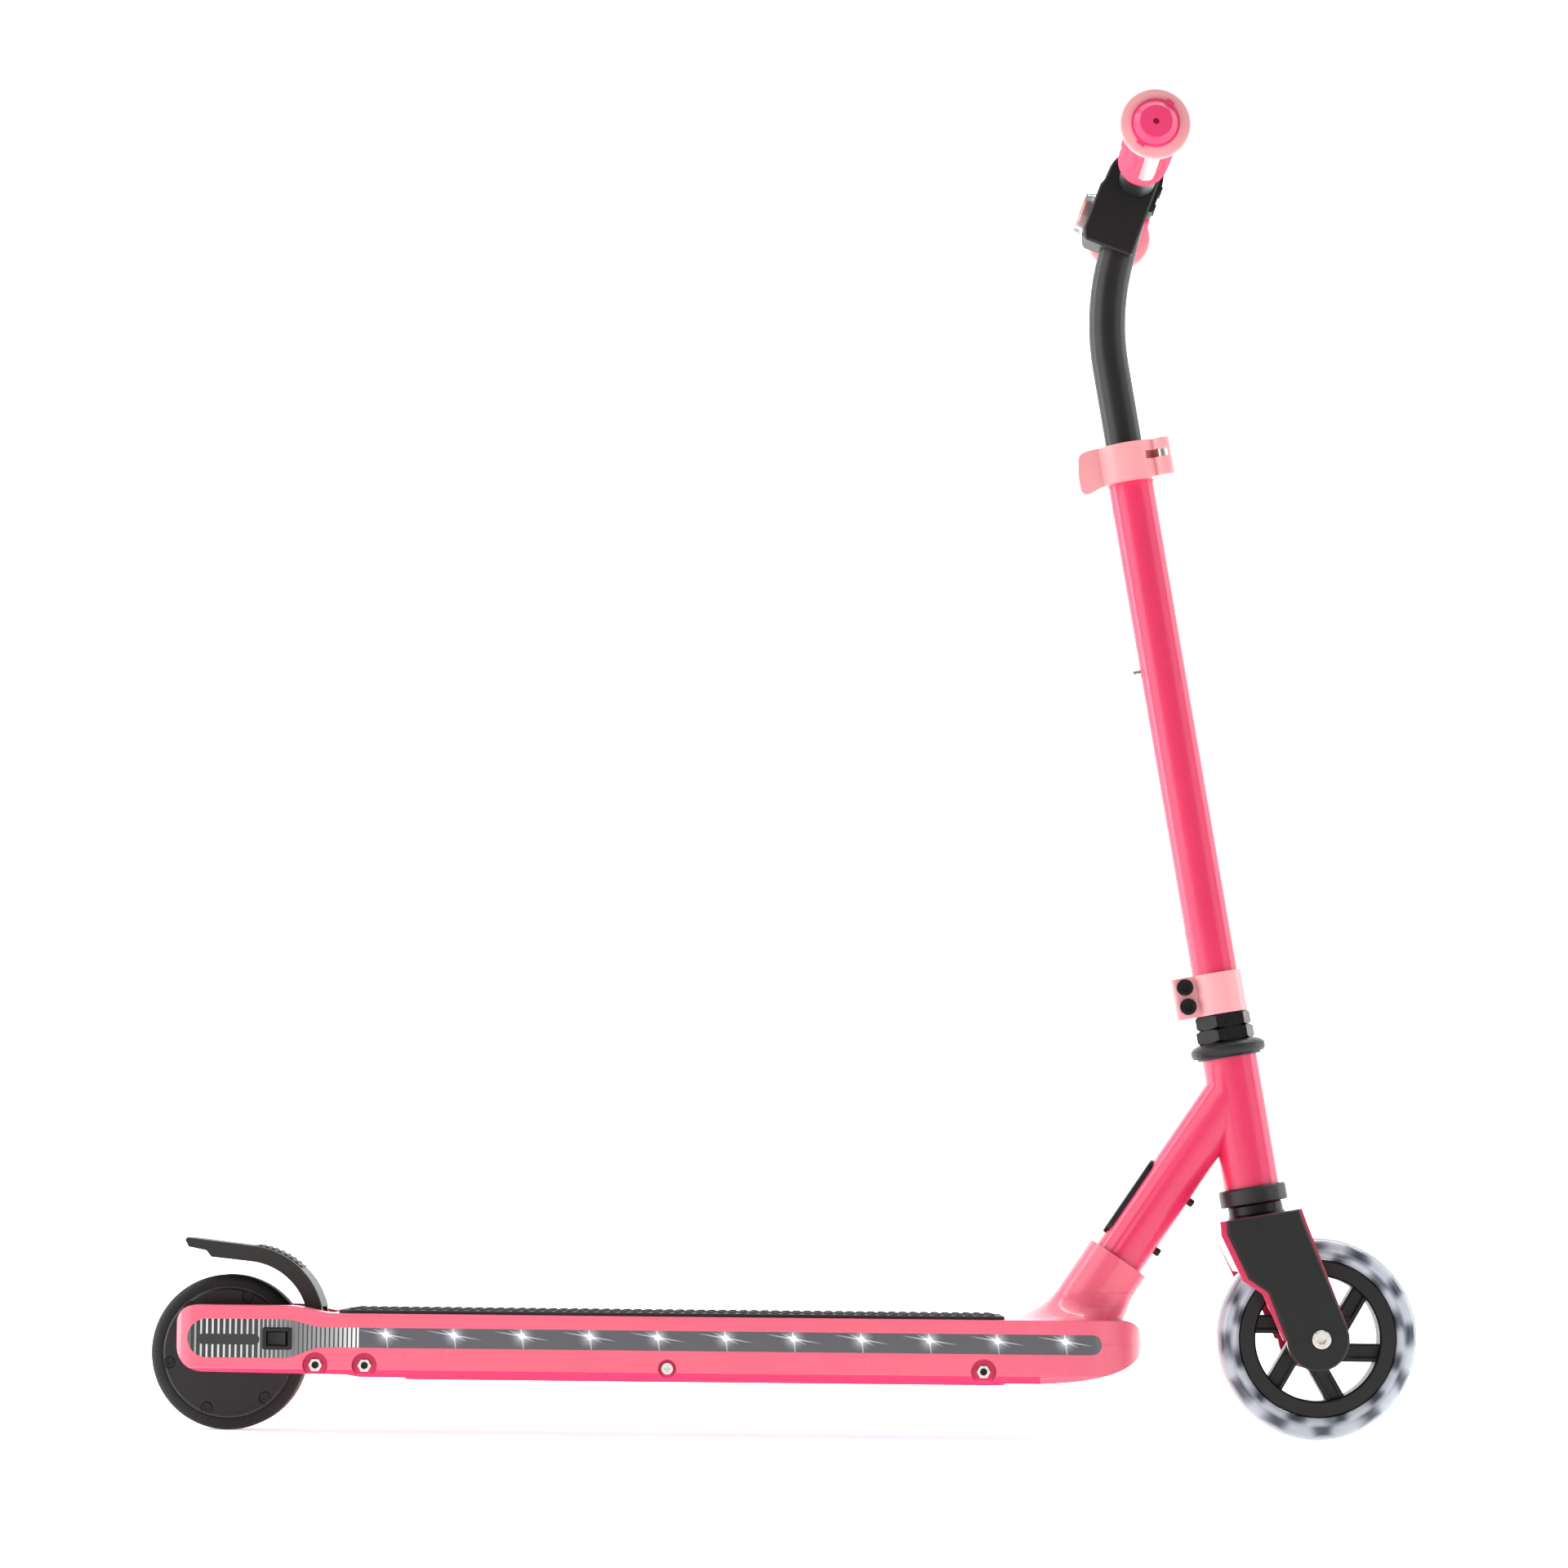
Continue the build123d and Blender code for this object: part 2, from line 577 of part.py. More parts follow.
with BuildPart() as port:
    with BuildSketch(Plane.XZ.offset(-(deck_half_width - port_depth + 2))):
        with Locations((port_x, graphic_mid)):
            Circle(port_r)
            Circle(3.0, mode=Mode.SUBTRACT)
    extrude(amount=-(port_depth - 2))
    with BuildSketch(Plane.XZ.offset(-(deck_half_width - port_depth + 2))):
        with Locations((port_x, graphic_mid)):
            Circle(port_r)
    extrude(amount=2.0)
    with BuildSketch(Plane.XZ.offset(-(deck_half_width - port_depth + 2))):
        with Locations((port_x, graphic_mid)):
            Circle(1.0)
    extrude(amount=-7.0)
    with BuildSketch(Plane.XZ.offset(-deck_half_width)):
        with Locations((port_x, graphic_mid)):
            Circle(port_r + 1.6)
            Circle(3.0, mode=Mode.SUBTRACT)
    extrude(amount=-0.8)
pieces["charging_socket"] = port.part

# ------------------------------------------------------------------ side fixings
nut_floor = deck_half_width - 4.2
with BuildPart() as fixings:                # hexagon nuts on their studs, and a screw mid-length
    for side in (-1, 1):
        with BuildSketch(Plane.XZ.offset(-side * nut_floor)):
            with Locations(*[(x, fixing_z) for x in fixing_x]):
                RegularPolygon(nut_af / 2, 6, major_radius=False)
                Circle(bolt_r, mode=Mode.SUBTRACT)
        extrude(amount=-side * 3.0)
        with BuildSketch(Plane.XZ.offset(-side * (nut_floor - 2.6))):
            with Locations(*[(x, fixing_z) for x in fixing_x]):
                Circle(bolt_r)
        extrude(amount=-side * 4.6)
        with BuildSketch(Plane.XZ.offset(-side * (nut_floor - 2.6))):
            with Locations((mid_screw_x, fixing_z)):
                Circle(bolt_r)
        extrude(amount=-side * 2.6)
        with BuildSketch(Plane.XZ.offset(-side * nut_floor)):
            with Locations((mid_screw_x, fixing_z)):
                Circle(3.4)
        extrude(amount=-side * 2.0)
    with BuildPart(mode=Mode.PRIVATE) as slots:
        with BuildSketch(Plane.XZ):
            with Locations((mid_screw_x, fixing_z)):
                Rectangle(3.6, 0.8)
                Rectangle(0.8, 3.6)
        extrude(amount=60, both=True)
        with BuildSketch(Plane.XZ):
            with Locations((mid_screw_x, fixing_z)):
                Rectangle(6, 6)
        extrude(amount=nut_floor + 0.8, both=True, mode=Mode.SUBTRACT)
    add(slots.part, mode=Mode.SUBTRACT)
pieces["side_fixings"] = fixings.part

with BuildPart() as cover_screws:
    with Locations(*[(x, y, deck_bottom - cover_thick) for x, y in cover_screws_at]):
        Cylinder(cover_head_r, cover_head, align=(Align.CENTER, Align.CENTER, Align.MIN))

# ------------------------------------------------------------------ headset
steerer_gap = 0.8
bearing_in = 13.0
bearing_out = 17.2
cup_in = steerer_r + steerer_gap


def steer_ring(*outline):
    """A piece turned about the steering axis from its (radius, s) outline."""
    with BuildPart() as ring:
        with BuildSketch(steer_side):
            Polygon(*outline, align=None)
        revolve(axis=steer_axis)
    return ring.part


lower_cup = steer_ring(
    (cup_in, head_s0 + 8), (head_tube_bore, head_s0 + 8), (head_tube_bore, head_s0), (19.4, head_s0),
    (20.2, head_s0 - 1), (20.2, head_s0 - 9.4), (19.4, head_s0 - 10.2), (bearing_out, head_s0 - 10.2),
    (bearing_out, head_s0 - 3), (cup_in, head_s0 - 3))
upper_cup = steer_ring(
    (cup_in, head_s1 - 8), (head_tube_bore, head_s1 - 8), (head_tube_bore, head_s1), (19.0, head_s1),
    (19.0, head_s1 + 5), (bearing_out, head_s1 + 5), (bearing_out, head_s1 + 1.2), (cup_in, head_s1 + 1.2))
pieces["headset_cups"] = group(lower_cup, upper_cup)
with BuildPart() as bearings:
    add(steer_ring((bearing_in, head_s0 - 9), (bearing_out, head_s0 - 9), (bearing_out, head_s0 - 3),
                   (bearing_in, head_s0 - 3)))
    add(steer_ring((bearing_in, head_s1 + 1.2), (bearing_out, head_s1 + 1.2), (bearing_out, head_s1 + 4.8),
                   (bearing_in, head_s1 + 4.8)))
pieces["headset_bearings"] = bearings.part
spigot_r = bearing_in - running
pieces["crown_race"] = steer_ring(
    (steerer_r, crown_s), (17.6, crown_s), (16.4, crown_s + 1.6), (16.2, head_s0 - 10.9), (15.0, head_s0 - 10.0),
    (spigot_r, head_s0 - 10.0),
    (spigot_r, head_s0 - 3.6), (steerer_r, head_s0 - 3.6))
cone_top = head_s1 + 9.8
pieces["dust_cover"] = steer_ring(
    (steerer_r, head_s1 + 2.0), (spigot_r, head_s1 + 2.0), (spigot_r, head_s1 + 5.5), (19.6, head_s1 + 5.5),
    (19.6, head_s1 + 1.4), (21.2, head_s1 + 1.4), (22.3, head_s1 + 3.4), (22.3, head_s1 + 6.4), (20.6, head_s1 + 8.2),
    (17.0, cone_top), (steerer_r, cone_top))


def hex_nut(across_flats, s0, s1):
    """A hexagonal nut on the steerer, its corners turned off at both faces."""
    with BuildPart() as nut:
        with BuildSketch(steer.offset(s0)):
            RegularPolygon(across_flats / 2, 6, major_radius=False, rotation=12)
            Circle(steerer_r, mode=Mode.SUBTRACT)
        extrude(amount=s1 - s0)
        with BuildSketch(steer_side):
            Polygon((0, s0), (across_flats * 0.5, s0), (across_flats * 0.58, s0 + 1.2),
                         (across_flats * 0.58, s1 - 1.2), (across_flats * 0.5, s1), (0, s1), align=None)
        revolve(axis=steer_axis, mode=Mode.INTERSECT)
    return nut.part


pieces["headset_nuts"] = group(hex_nut(31.0, cone_top, cone_top + 8.0), hex_nut(29.6, cone_top + 8.2, collar_s0))

# ------------------------------------------------------------------ fork
leg_y = 28.0                # inner face of the fork's side plates
leg_thick = 3.0
cover_y = 36.5
axle_r = 4.0
axle_t = fork_offset
toe_r = 18.4
toe_t = axle_t - 1.7
crown_thick = 4.0


def fork_outline(rear, front):
    """Side outline of a fork leg in (t, s), widened at the rear and the front edge."""
    Polygon((-20.6 - rear, crown_s), (22.6 + front, crown_s), (24.2 + front, crown_s - 9),
            (toe_t + toe_r + 0.2 * front, axle_s + 3), (toe_t, axle_s - 6), (toe_t - toe_r - 0.5 * rear, axle_s + 3),
            (-3.4 - rear, crown_s - 45.7), (-13.4 - rear, crown_s - 36.2), (-21.4 - rear, crown_s - 8), align=None)
    with Locations((toe_t, axle_s)):
        Circle(toe_r)


with BuildPart() as fork:
    for side in (-1, 1):
        with BuildSketch(steer_side.offset(-side * leg_y)):
            fork_outline(3.6, 2.0)
        extrude(amount=-side * leg_thick)
    with BuildSketch(steer.offset(crown_s)):
        Rectangle(24.6 + 24.2, 2 * (leg_y + 0.5))
    extrude(amount=-crown_thick)
    with BuildSketch(steer_side):
        Polygon((-24.2, crown_s), (-25.0, crown_s - 8), (-18.0, crown_s - 30.8), (-15.2, crown_s - 30),
                (-22.0, crown_s - 8), (-21.2, crown_s), align=None)
    extrude(amount=leg_y + 0.5, both=True)
    with BuildSketch(steer_side):
        Polygon((24.6, crown_s), (26.0, crown_s - 9), (27.2, crown_s - 14), (24.4, crown_s - 14), (21.6, crown_s),
                align=None)
    extrude(amount=leg_y + 0.5, both=True)
    with BuildSketch(steer.offset(crown_s - crown_thick)):
        Circle(steerer_r)
    extrude(amount=steerer_top - crown_s + crown_thick)
    with BuildSketch(steer.offset(crown_s - crown_thick)):
        Circle(steerer_r - 2.2)
    extrude(amount=steerer_top, mode=Mode.SUBTRACT)
    with BuildSketch(front_hub):
        Circle(axle_r)
    extrude(amount=50, both=True, mode=Mode.SUBTRACT)
pieces["fork"] = fork.part

head_r = 5.6
fork_covers = {}
for side in (-1, 1):
    with BuildPart() as cover:
        outer_plane = steer_side.offset(-side * (leg_y + leg_thick))
        with BuildSketch(outer_plane):
            fork_outline(0, 0)
        extrude(amount=-side * (cover_y - leg_y - leg_thick))
        outer_face = cover.faces().sort_by(Axis.Y)[0 if side < 0 else -1]
        chamfer(outer_face.edges(), 1.2)
        with BuildSketch(outer_plane):
            fork_outline(0, 0)
            offset(amount=-2.2, kind=Kind.INTERSECTION)
        extrude(amount=-side * (cover_y - leg_y - leg_thick - 2.2), mode=Mode.SUBTRACT)
        with BuildSketch(front_hub.offset(-side * (leg_y + leg_thick))):
            Circle(head_r + 1.6)
        extrude(amount=-side * (cover_y - leg_y - leg_thick - 1.0))
        with BuildSketch(front_hub):
            Circle(head_r + 0.2)
        extrude(amount=-side * 60, mode=Mode.SUBTRACT)
    fork_covers[side] = cover.part
pieces["fork_covers"] = group(*fork_covers.values())

# Front axle: hexagon-socket bolt from the right, sleeve nut from the left.
bolt_face = 38.2
with BuildPart() as front_bolt:
    with BuildSketch(front_hub.offset(-leg_y - leg_thick + 0.2)):
        Circle(axle_r)
    extrude(amount=2 * (leg_y + leg_thick) - 0.2)
    with BuildSketch(front_hub.offset(leg_y + leg_thick)):
        Circle(head_r)
    extrude(amount=bolt_face - leg_y - leg_thick)
    chamfer(front_bolt.faces().sort_by(Axis.Y)[0].edges(), 0.7)
    with BuildSketch(front_hub.offset(bolt_face)):
        RegularPolygon(2.9, 6)
    extrude(amount=-4, mode=Mode.SUBTRACT)
with BuildPart() as front_nut:
    with BuildSketch(front_hub.offset(-leg_y - leg_thick)):
        Circle(head_r)
    extrude(amount=-(bolt_face - leg_y - leg_thick))
    chamfer(front_nut.faces().sort_by(Axis.Y)[-1].edges(), 0.7)
    with BuildSketch(front_hub.offset(-bolt_face)):
        RegularPolygon(2.9, 6)
    extrude(amount=4, mode=Mode.SUBTRACT)
pieces["front_axle"] = group(front_bolt.part, front_nut.part)

# ------------------------------------------------------------------ front wheel
hub_half = 20.0
hub_r = 15.0
bearing_r = 11.0
bearing_w = 7.0
rim_r = 46.9
rim_window_r = 37.0
rim_half = 12.5
spoke_w = 10.8
spoke_shift = 8.2
spoke_half = 8.0
light_ring_half = 3.0
light_ring_depth = 2.4
with BuildPart() as rim:
    with BuildSketch(front_hub):
        Circle(rim_r)
        Circle(rim_window_r, mode=Mode.SUBTRACT)
    extrude(amount=rim_half, both=True)
    chamfer(rim.edges().filter_by(GeomType.CIRCLE), 1.0)
    with BuildSketch(front_hub):
        with PolarLocations(0, 6):
            with Locations((rim_window_r / 2, -spoke_shift)):
                Rectangle(rim_window_r + 2, spoke_w)
        Circle(rim_window_r + 1, mode=Mode.INTERSECT)
    extrude(amount=spoke_half, both=True)
    with BuildSketch(front_hub):
        Circle(hub_r)
    extrude(amount=hub_half, both=True)
    for side in (-1, 1):                           # long round-ended grooves along the spokes
        with BuildSketch(front_hub.offset(side * spoke_half)):
            with PolarLocations(0, 6):
                with Locations(((rim_window_r + hub_r) / 2 + 3.0, -spoke_shift)):
                    SlotOverall(rim_window_r - hub_r - 4.0, spoke_w * 0.52)
        extrude(amount=-side * 1.8, mode=Mode.SUBTRACT)
        with BuildSketch(front_hub.offset(side * hub_half)):
            Circle(bearing_r)
        extrude(amount=-side * bearing_w, mode=Mode.SUBTRACT)
    with BuildSketch(front_hub):
        Circle(8.5)
    extrude(amount=hub_half, both=True, mode=Mode.SUBTRACT)
    with BuildSketch(front_hub):
        Circle(rim_r + 1)
        Circle(rim_r - light_ring_depth, mode=Mode.SUBTRACT)
    extrude(amount=light_ring_half, both=True, mode=Mode.SUBTRACT)
pieces["front_rim"] = rim.part

with BuildPart() as light_ring:
    with BuildSketch(front_hub):
        Circle(rim_r)
        Circle(rim_r - light_ring_depth, mode=Mode.SUBTRACT)
    extrude(amount=light_ring_half, both=True)
pieces["wheel_light_ring"] = light_ring.part

tyre_half = 14.0


def tyre_ring(axle_point, r_in, r_out, half, crown):
    """A solid tyre with a round crown, turned about a wheel axle."""
    with BuildPart() as ring:
        with BuildSketch(Plane(origin=axle_point, x_dir=(0, 0, 1), z_dir=(-1, 0, 0))) as section:
            with Locations(((r_in + r_out) / 2, 0)):
                Rectangle(r_out - r_in, 2 * half)
            fillet(section.vertices().group_by(Axis.X)[-1], crown)
        revolve(axis=Axis(axle_point, (0, 1, 0)))
    return ring.part


pieces["front_tyre"] = tyre_ring(front_axle, rim_r, front_wheel_r, tyre_half, tyre_half - 3.0)

with BuildPart() as wheel_bearings:
    for side in (-1, 1):
        with BuildSketch(front_hub.offset(side * hub_half)):
            Circle(bearing_r)
            Circle(axle_r + running, mode=Mode.SUBTRACT)
        extrude(amount=-side * bearing_w)
pieces["front_bearings"] = wheel_bearings.part

with BuildPart() as spacers:
    with BuildSketch(front_hub):
        Circle(7.0)
        Circle(axle_r, mode=Mode.SUBTRACT)
    extrude(amount=hub_half - bearing_w - air, both=True)
    for side in (-1, 1):
        with BuildSketch(front_hub.offset(side * (hub_half + air))):
            Circle(7.0)
            Circle(axle_r, mode=Mode.SUBTRACT)
        extrude(amount=side * (leg_y - hub_half - air))
pieces["front_axle_spacers"] = spacers.part

# ------------------------------------------------------------------ column
ring_r = 17.6
ring_s1 = clamp_s0 + clamp_height
column_top = ring_s1 - 4.0
slit = 2.6
hole_r = 2.9
with BuildPart() as column:
    with BuildSketch(steer.offset(column_s0)):
        Circle(column_r)
        Circle(steerer_r, mode=Mode.SUBTRACT)
    extrude(amount=column_top - column_s0)
    with BuildSketch(Plane(origin=steer_foot, x_dir=(0, -1, 0), z_dir=-steer_fwd)):
        with Locations((0, button_s), (0, button_s + height_travel)):
            Circle(hole_r)
        with Locations((0, collar_s0 + 50)):
            Circle(2.4)
        with Locations((0, collar_s0 + 24)):
            Rectangle(slit, 52)
    extrude(amount=30, mode=Mode.SUBTRACT)
    with BuildSketch(steer_side):
        with Locations((column_r, column_top)):
            Rectangle(8, 60)
    extrude(amount=slit / 2, both=True, mode=Mode.SUBTRACT)
pieces["column_tube"] = column.part

collar_ear = 27.4
ear_half = 9.0
collar_r = 15.9
collar_bolt_t = -20.0
collar_bolts_s = [collar_s0 + collar_height / 2 + ds + 0.6 for ds in (-5.8, 5.8)]
with BuildPart() as collar:
    with BuildSketch(steer.offset(collar_s0)):
        Circle(collar_r)
        with Locations((-collar_ear / 2, 0)):
            RectangleRounded(collar_ear, 2 * ear_half, 2.5)
        Circle(column_r, mode=Mode.SUBTRACT)
        with Locations((-collar_ear / 2 - 3, 0)):
            Rectangle(collar_ear, slit, mode=Mode.SUBTRACT)
    extrude(amount=collar_height)
    with BuildSketch(steer_side):
        with Locations(*[(collar_bolt_t, s) for s in collar_bolts_s]):
            Circle(3.0)
    extrude(amount=30, both=True, mode=Mode.SUBTRACT)
    with BuildSketch(steer):
        Circle(column_r)
    extrude(amount=steerer_top + 20, mode=Mode.SUBTRACT)
pieces["column_collar"] = collar.part

with BuildPart() as collar_bolts:
    with BuildSketch(steer_side.offset(-ear_half)):
        with Locations(*[(collar_bolt_t, s) for s in collar_bolts_s]):
            Circle(3.0)
    extrude(amount=2 * ear_half)
    with BuildSketch(steer_side.offset(ear_half)):
        with Locations(*[(collar_bolt_t, s) for s in collar_bolts_s]):
            Circle(4.9)
    extrude(amount=4.5)
    with BuildSketch(steer_side.offset(ear_half + 4.5)):
        with Locations(*[(collar_bolt_t, s) for s in collar_bolts_s]):
            RegularPolygon(2.9, 6)
    extrude(amount=-3.0, mode=Mode.SUBTRACT)
pieces["collar_bolts"] = collar_bolts.part

# Quick-release clamp: split ring with two ears, skewer, pivot barrel and cam lever.
ring_ear_t = 26.6
ring_ear_half = 7.5
skewer_t = 20.7
skewer_s = clamp_s0 + 13.5
skewer_r = 2.0
barrel_y = -13.6
barrel_r = 3.4
with BuildPart() as clamp_ring:
    with BuildSketch(steer.offset(clamp_s0)):
        Circle(ring_r)
        with Locations((ring_ear_t / 2, 0)):
            RectangleRounded(ring_ear_t, 2 * ring_ear_half, 3.0)
        Circle(column_r, mode=Mode.SUBTRACT)
        with Locations((ring_ear_t / 2 + 6, 0)):
            Rectangle(ring_ear_t, slit, mode=Mode.SUBTRACT)
    extrude(amount=clamp_height)
    with BuildSketch(steer.offset(ring_s1 - 1.4)):
        Circle(ring_r - 1)
        Circle(stem_r + 0.5, mode=Mode.SUBTRACT)
        with Locations((ring_ear_t / 2 + 6, 0)):
            Rectangle(ring_ear_t, slit, mode=Mode.SUBTRACT)
    extrude(amount=1.4)
    with BuildSketch(steer_side):
        with Locations((skewer_t, skewer_s)):
            Circle(skewer_r)
    extrude(amount=30, both=True, mode=Mode.SUBTRACT)
pieces["clamp_ring"] = clamp_ring.part

with BuildPart() as bush:
    with BuildSketch(steer.offset(column_top - 28)):
        Circle(steerer_r)
        Circle(stem_r + running, mode=Mode.SUBTRACT)
    extrude(amount=28)
    with BuildSketch(steer.offset(column_top)):
        Circle(column_r)
        Circle(stem_r + running, mode=Mode.SUBTRACT)
    extrude(amount=2.4)
pieces["column_bush"] = bush.part

barrel_plane = Plane(origin=steer_foot + steer_fwd * skewer_t + Vector(0, barrel_y, 0) + steer_dir * (clamp_s0 + 2),
                     x_dir=steer_fwd, z_dir=steer_dir)
with BuildPart() as skewer:
    with BuildSketch(barrel_plane):
        Circle(barrel_r)
    extrude(amount=clamp_height - 4)
    with BuildSketch(steer_side.offset(-barrel_y)):
        with Locations((skewer_t, skewer_s)):
            Circle(skewer_r)
    extrude(amount=barrel_y - ring_ear_half)
    with BuildSketch(steer_side.offset(-ring_ear_half)):
        with Locations((skewer_t, skewer_s)):
            RegularPolygon(4.4, 6)
    extrude(amount=-5.0)
pieces["clamp_skewer"] = skewer.part

lever_in = ring_r + 0.7
lever_out = lever_in + 3.8
cam_r = -barrel_y - ring_ear_half - air
with BuildPart() as lever:
    with BuildSketch(steer.offset(clamp_s0 - 6)):
        with BuildLine():
            arc_out = CenterArc((0, 0), lever_out, -140, 104)
            arc_in = CenterArc((0, 0), lever_in, -146, 110)
            Line(arc_out @ 1, arc_in @ 1)
            Polyline(arc_out @ 0, (-31.4, -19.0), (-32.0, -17.4), (-31.4, -16.2), arc_in @ 0)
        make_face()
        with Locations((skewer_t, barrel_y)):
            Circle(cam_r)
    extrude(amount=clamp_height + 10)
    with BuildSketch(steer_side):
        with BuildLine():
            low = Polyline((28, clamp_s0), (-8, clamp_s0))
            dip = Spline(low @ 1, (-22, clamp_s0 - 2.6), (-28.3, clamp_s0 - 4.6), tangents=((-1, 0), (-1, -0.1)))
            tip = Spline(dip @ 1, (-32.0, clamp_s0 + 3.5), (-30.6, clamp_s0 + 14), (-13.5, ring_s1 - 0.2),
                         tangents=((-1, 0.2), (1, 0.02)))
            Polyline(tip @ 1, (0, ring_s1), (28, ring_s1), low @ 0)
        make_face()
    extrude(amount=60, both=True, mode=Mode.INTERSECT)
    with BuildSketch(steer_side):
        with Locations((skewer_t + 9.7, skewer_s)):
            Rectangle(20 + 20, 2 * skewer_r + 0.9)
        with Locations((-40, skewer_s)):
            Rectangle(100.8, 10, mode=Mode.SUBTRACT)
    extrude(amount=60, both=True, mode=Mode.SUBTRACT)
    with BuildSketch(barrel_plane):
        Circle(barrel_r + running)
    extrude(amount=clamp_height - 4 + 0.3, mode=Mode.SUBTRACT)
    with BuildSketch(barrel_plane.offset(-0.3)):
        Circle(barrel_r + running)
    extrude(amount=2, mode=Mode.SUBTRACT)
pieces["clamp_lever"] = lever.part

# ------------------------------------------------------------------ handlebar
with BuildLine(steer_side) as stem_path:
    straight = Line((0, stem_s0), (0, bend_s))
    bend = JernArc(start=straight @ 1, tangent=straight % 1, radius=bend_radius, arc_size=-bend_angle)
    Line(bend @ 1, (bend @ 1) + (bend % 1) * stem_tail)
bar_centre = stem_path.wires()[0] @ 1
bar_plane = Plane(origin=bar_centre, x_dir=(1, 0, 0), z_dir=(0, -1, 0))
bar_axis = Axis(bar_centre, (0, 1, 0))
bar_half = bar_width / 2 - 9.0

with BuildPart() as bar_blank:              # stem and crossbar without their bores
    with BuildSketch(steer.offset(stem_s0)):
        Circle(stem_r)
    sweep(path=stem_path.wires()[0])
    with BuildSketch(bar_plane):
        Circle(bar_r)
    extrude(amount=bar_half, both=True)
with BuildPart() as t_bar:
    add(bar_blank.part)
    with BuildPart(mode=Mode.PRIVATE) as stem_bore:
        with BuildSketch(steer.offset(stem_s0)):
            Circle(stem_r - tube_wall)
        sweep(path=stem_path.wires()[0])
    add(stem_bore.part, mode=Mode.SUBTRACT)
    with BuildSketch(bar_plane):
        Circle(bar_r - tube_wall)
    extrude(amount=bar_half, both=True, mode=Mode.SUBTRACT)
    with BuildSketch(Plane(origin=steer_foot, x_dir=(0, -1, 0), z_dir=-steer_fwd)):
        with Locations((0, button_s)):
            Circle(hole_r - 0.1)
    extrude(amount=30, mode=Mode.SUBTRACT)
pieces["t_bar"] = t_bar.part

# Snap button with its spring leaf folded inside the stem.
button_r = 2.5
button_proud = 5.4
leaf_t = -(stem_r - tube_wall) + 0.3
with BuildPart() as snap:
    with BuildSketch(Plane(origin=steer_foot + steer_fwd * leaf_t, x_dir=(0, -1, 0), z_dir=-steer_fwd)):
        with Locations((0, button_s)):
            Circle(button_r)
    extrude(amount=column_r + button_proud + leaf_t)
    fillet(snap.faces().sort_by(Axis.X)[0].edges(), 1.6)
    with BuildSketch(steer_side):
        Polygon((leaf_t + 1.2, button_s + 6), (leaf_t, button_s + 6), (leaf_t, button_s - 6), (0.0, button_s - 33),
                (-leaf_t, button_s - 6), (-leaf_t, button_s + 6), (-leaf_t - 0.8, button_s + 6),
                (-leaf_t - 0.8, button_s - 5), (0.0, button_s - 30), (leaf_t + 1.2, button_s - 5), align=None)
    extrude(amount=2.2, both=True)
pieces["snap_button"] = snap.part

# Throttle housing: clamps round the bar and the stem's top, leaning forward.
housing_tilt = 20.0
housing_half = 16.0
lobe_r = 18.3
housing_bottom = -44.8
housing_front = 13.0
housing_wall = 3.0
housing_dir = Vector(sin(radians(housing_tilt)), 0, cos(radians(housing_tilt)))
housing_fwd = Vector(cos(radians(housing_tilt)), 0, -sin(radians(housing_tilt)))
housing = Plane(origin=bar_centre, x_dir=housing_fwd, z_dir=(0, -1, 0))
rear_face = -20.0
button_centre = -27.6
bezel_r = 14.0
bezel_top_r = 12.2
bezel_proud = 5.8
button_cap_r = 8.6
button_travel = 3.0
face_plane = Plane(origin=bar_centre + housing_fwd * rear_face + housing_dir * button_centre,
                   x_dir=(0, -1, 0), z_dir=-housing_fwd)
front_reach = 15.4
cover_low = -15.0
cover_high = 11.0

with BuildPart() as body:
    with BuildSketch(housing):
        Circle(lobe_r)
        Polygon((-lobe_r, 0), (-18.6, -6), (rear_face, -10), (rear_face, -38), (-17.9, housing_bottom + 1.5),
                (-16.0, housing_bottom), (housing_front - 1.5, housing_bottom), (housing_front, housing_bottom + 1.5),
                (housing_front, 0), align=None)
        with Locations((housing_front, 0)):
            Rectangle(20, 200, align=(Align.MIN, Align.CENTER), mode=Mode.SUBTRACT)
    extrude(amount=housing_half, both=True)
    chamfer(body.faces().filter_by(Axis.Y).edges(), 1.2)
    with BuildSketch(housing):
        with Locations((-3.5, -28.2)):
            Rectangle(26, 27)
    extrude(amount=housing_half - housing_wall, both=True, mode=Mode.SUBTRACT)
    with BuildSketch(face_plane):
        Circle(button_cap_r + air)
    extrude(amount=8, both=True, mode=Mode.SUBTRACT)
    add(bar_blank.part, mode=Mode.SUBTRACT)
pieces["throttle_housing"] = body.part

with BuildPart() as front_cover:
    with BuildSketch(housing):
        with BuildLine():
            Polyline((housing_front, cover_high), (housing_front, cover_low), (front_reach - 0.6, cover_low),
                     (front_reach, cover_low + 0.8), (front_reach, 3.0), (housing_front + 0.8, cover_high), close=True)
        make_face()
    extrude(amount=housing_half - 4, both=True)
pieces["housing_cover"] = front_cover.part

with BuildPart() as button_bezel:
    with BuildSketch(face_plane):
        Circle(bezel_r)
    with BuildSketch(face_plane.offset(bezel_proud)):
        Circle(bezel_top_r)
    loft()
    with BuildSketch(face_plane):
        Circle(button_cap_r + air)
    extrude(amount=10, mode=Mode.SUBTRACT)
pieces["button_bezel"] = button_bezel.part

with BuildPart() as push_button:
    with BuildSketch(face_plane.offset(-6)):
        Circle(button_cap_r)
    extrude(amount=6 + 3.6)
    fillet(push_button.faces().sort_by(Axis.X)[0].edges(), 1.4)
pieces["throttle_button"] = push_button.part

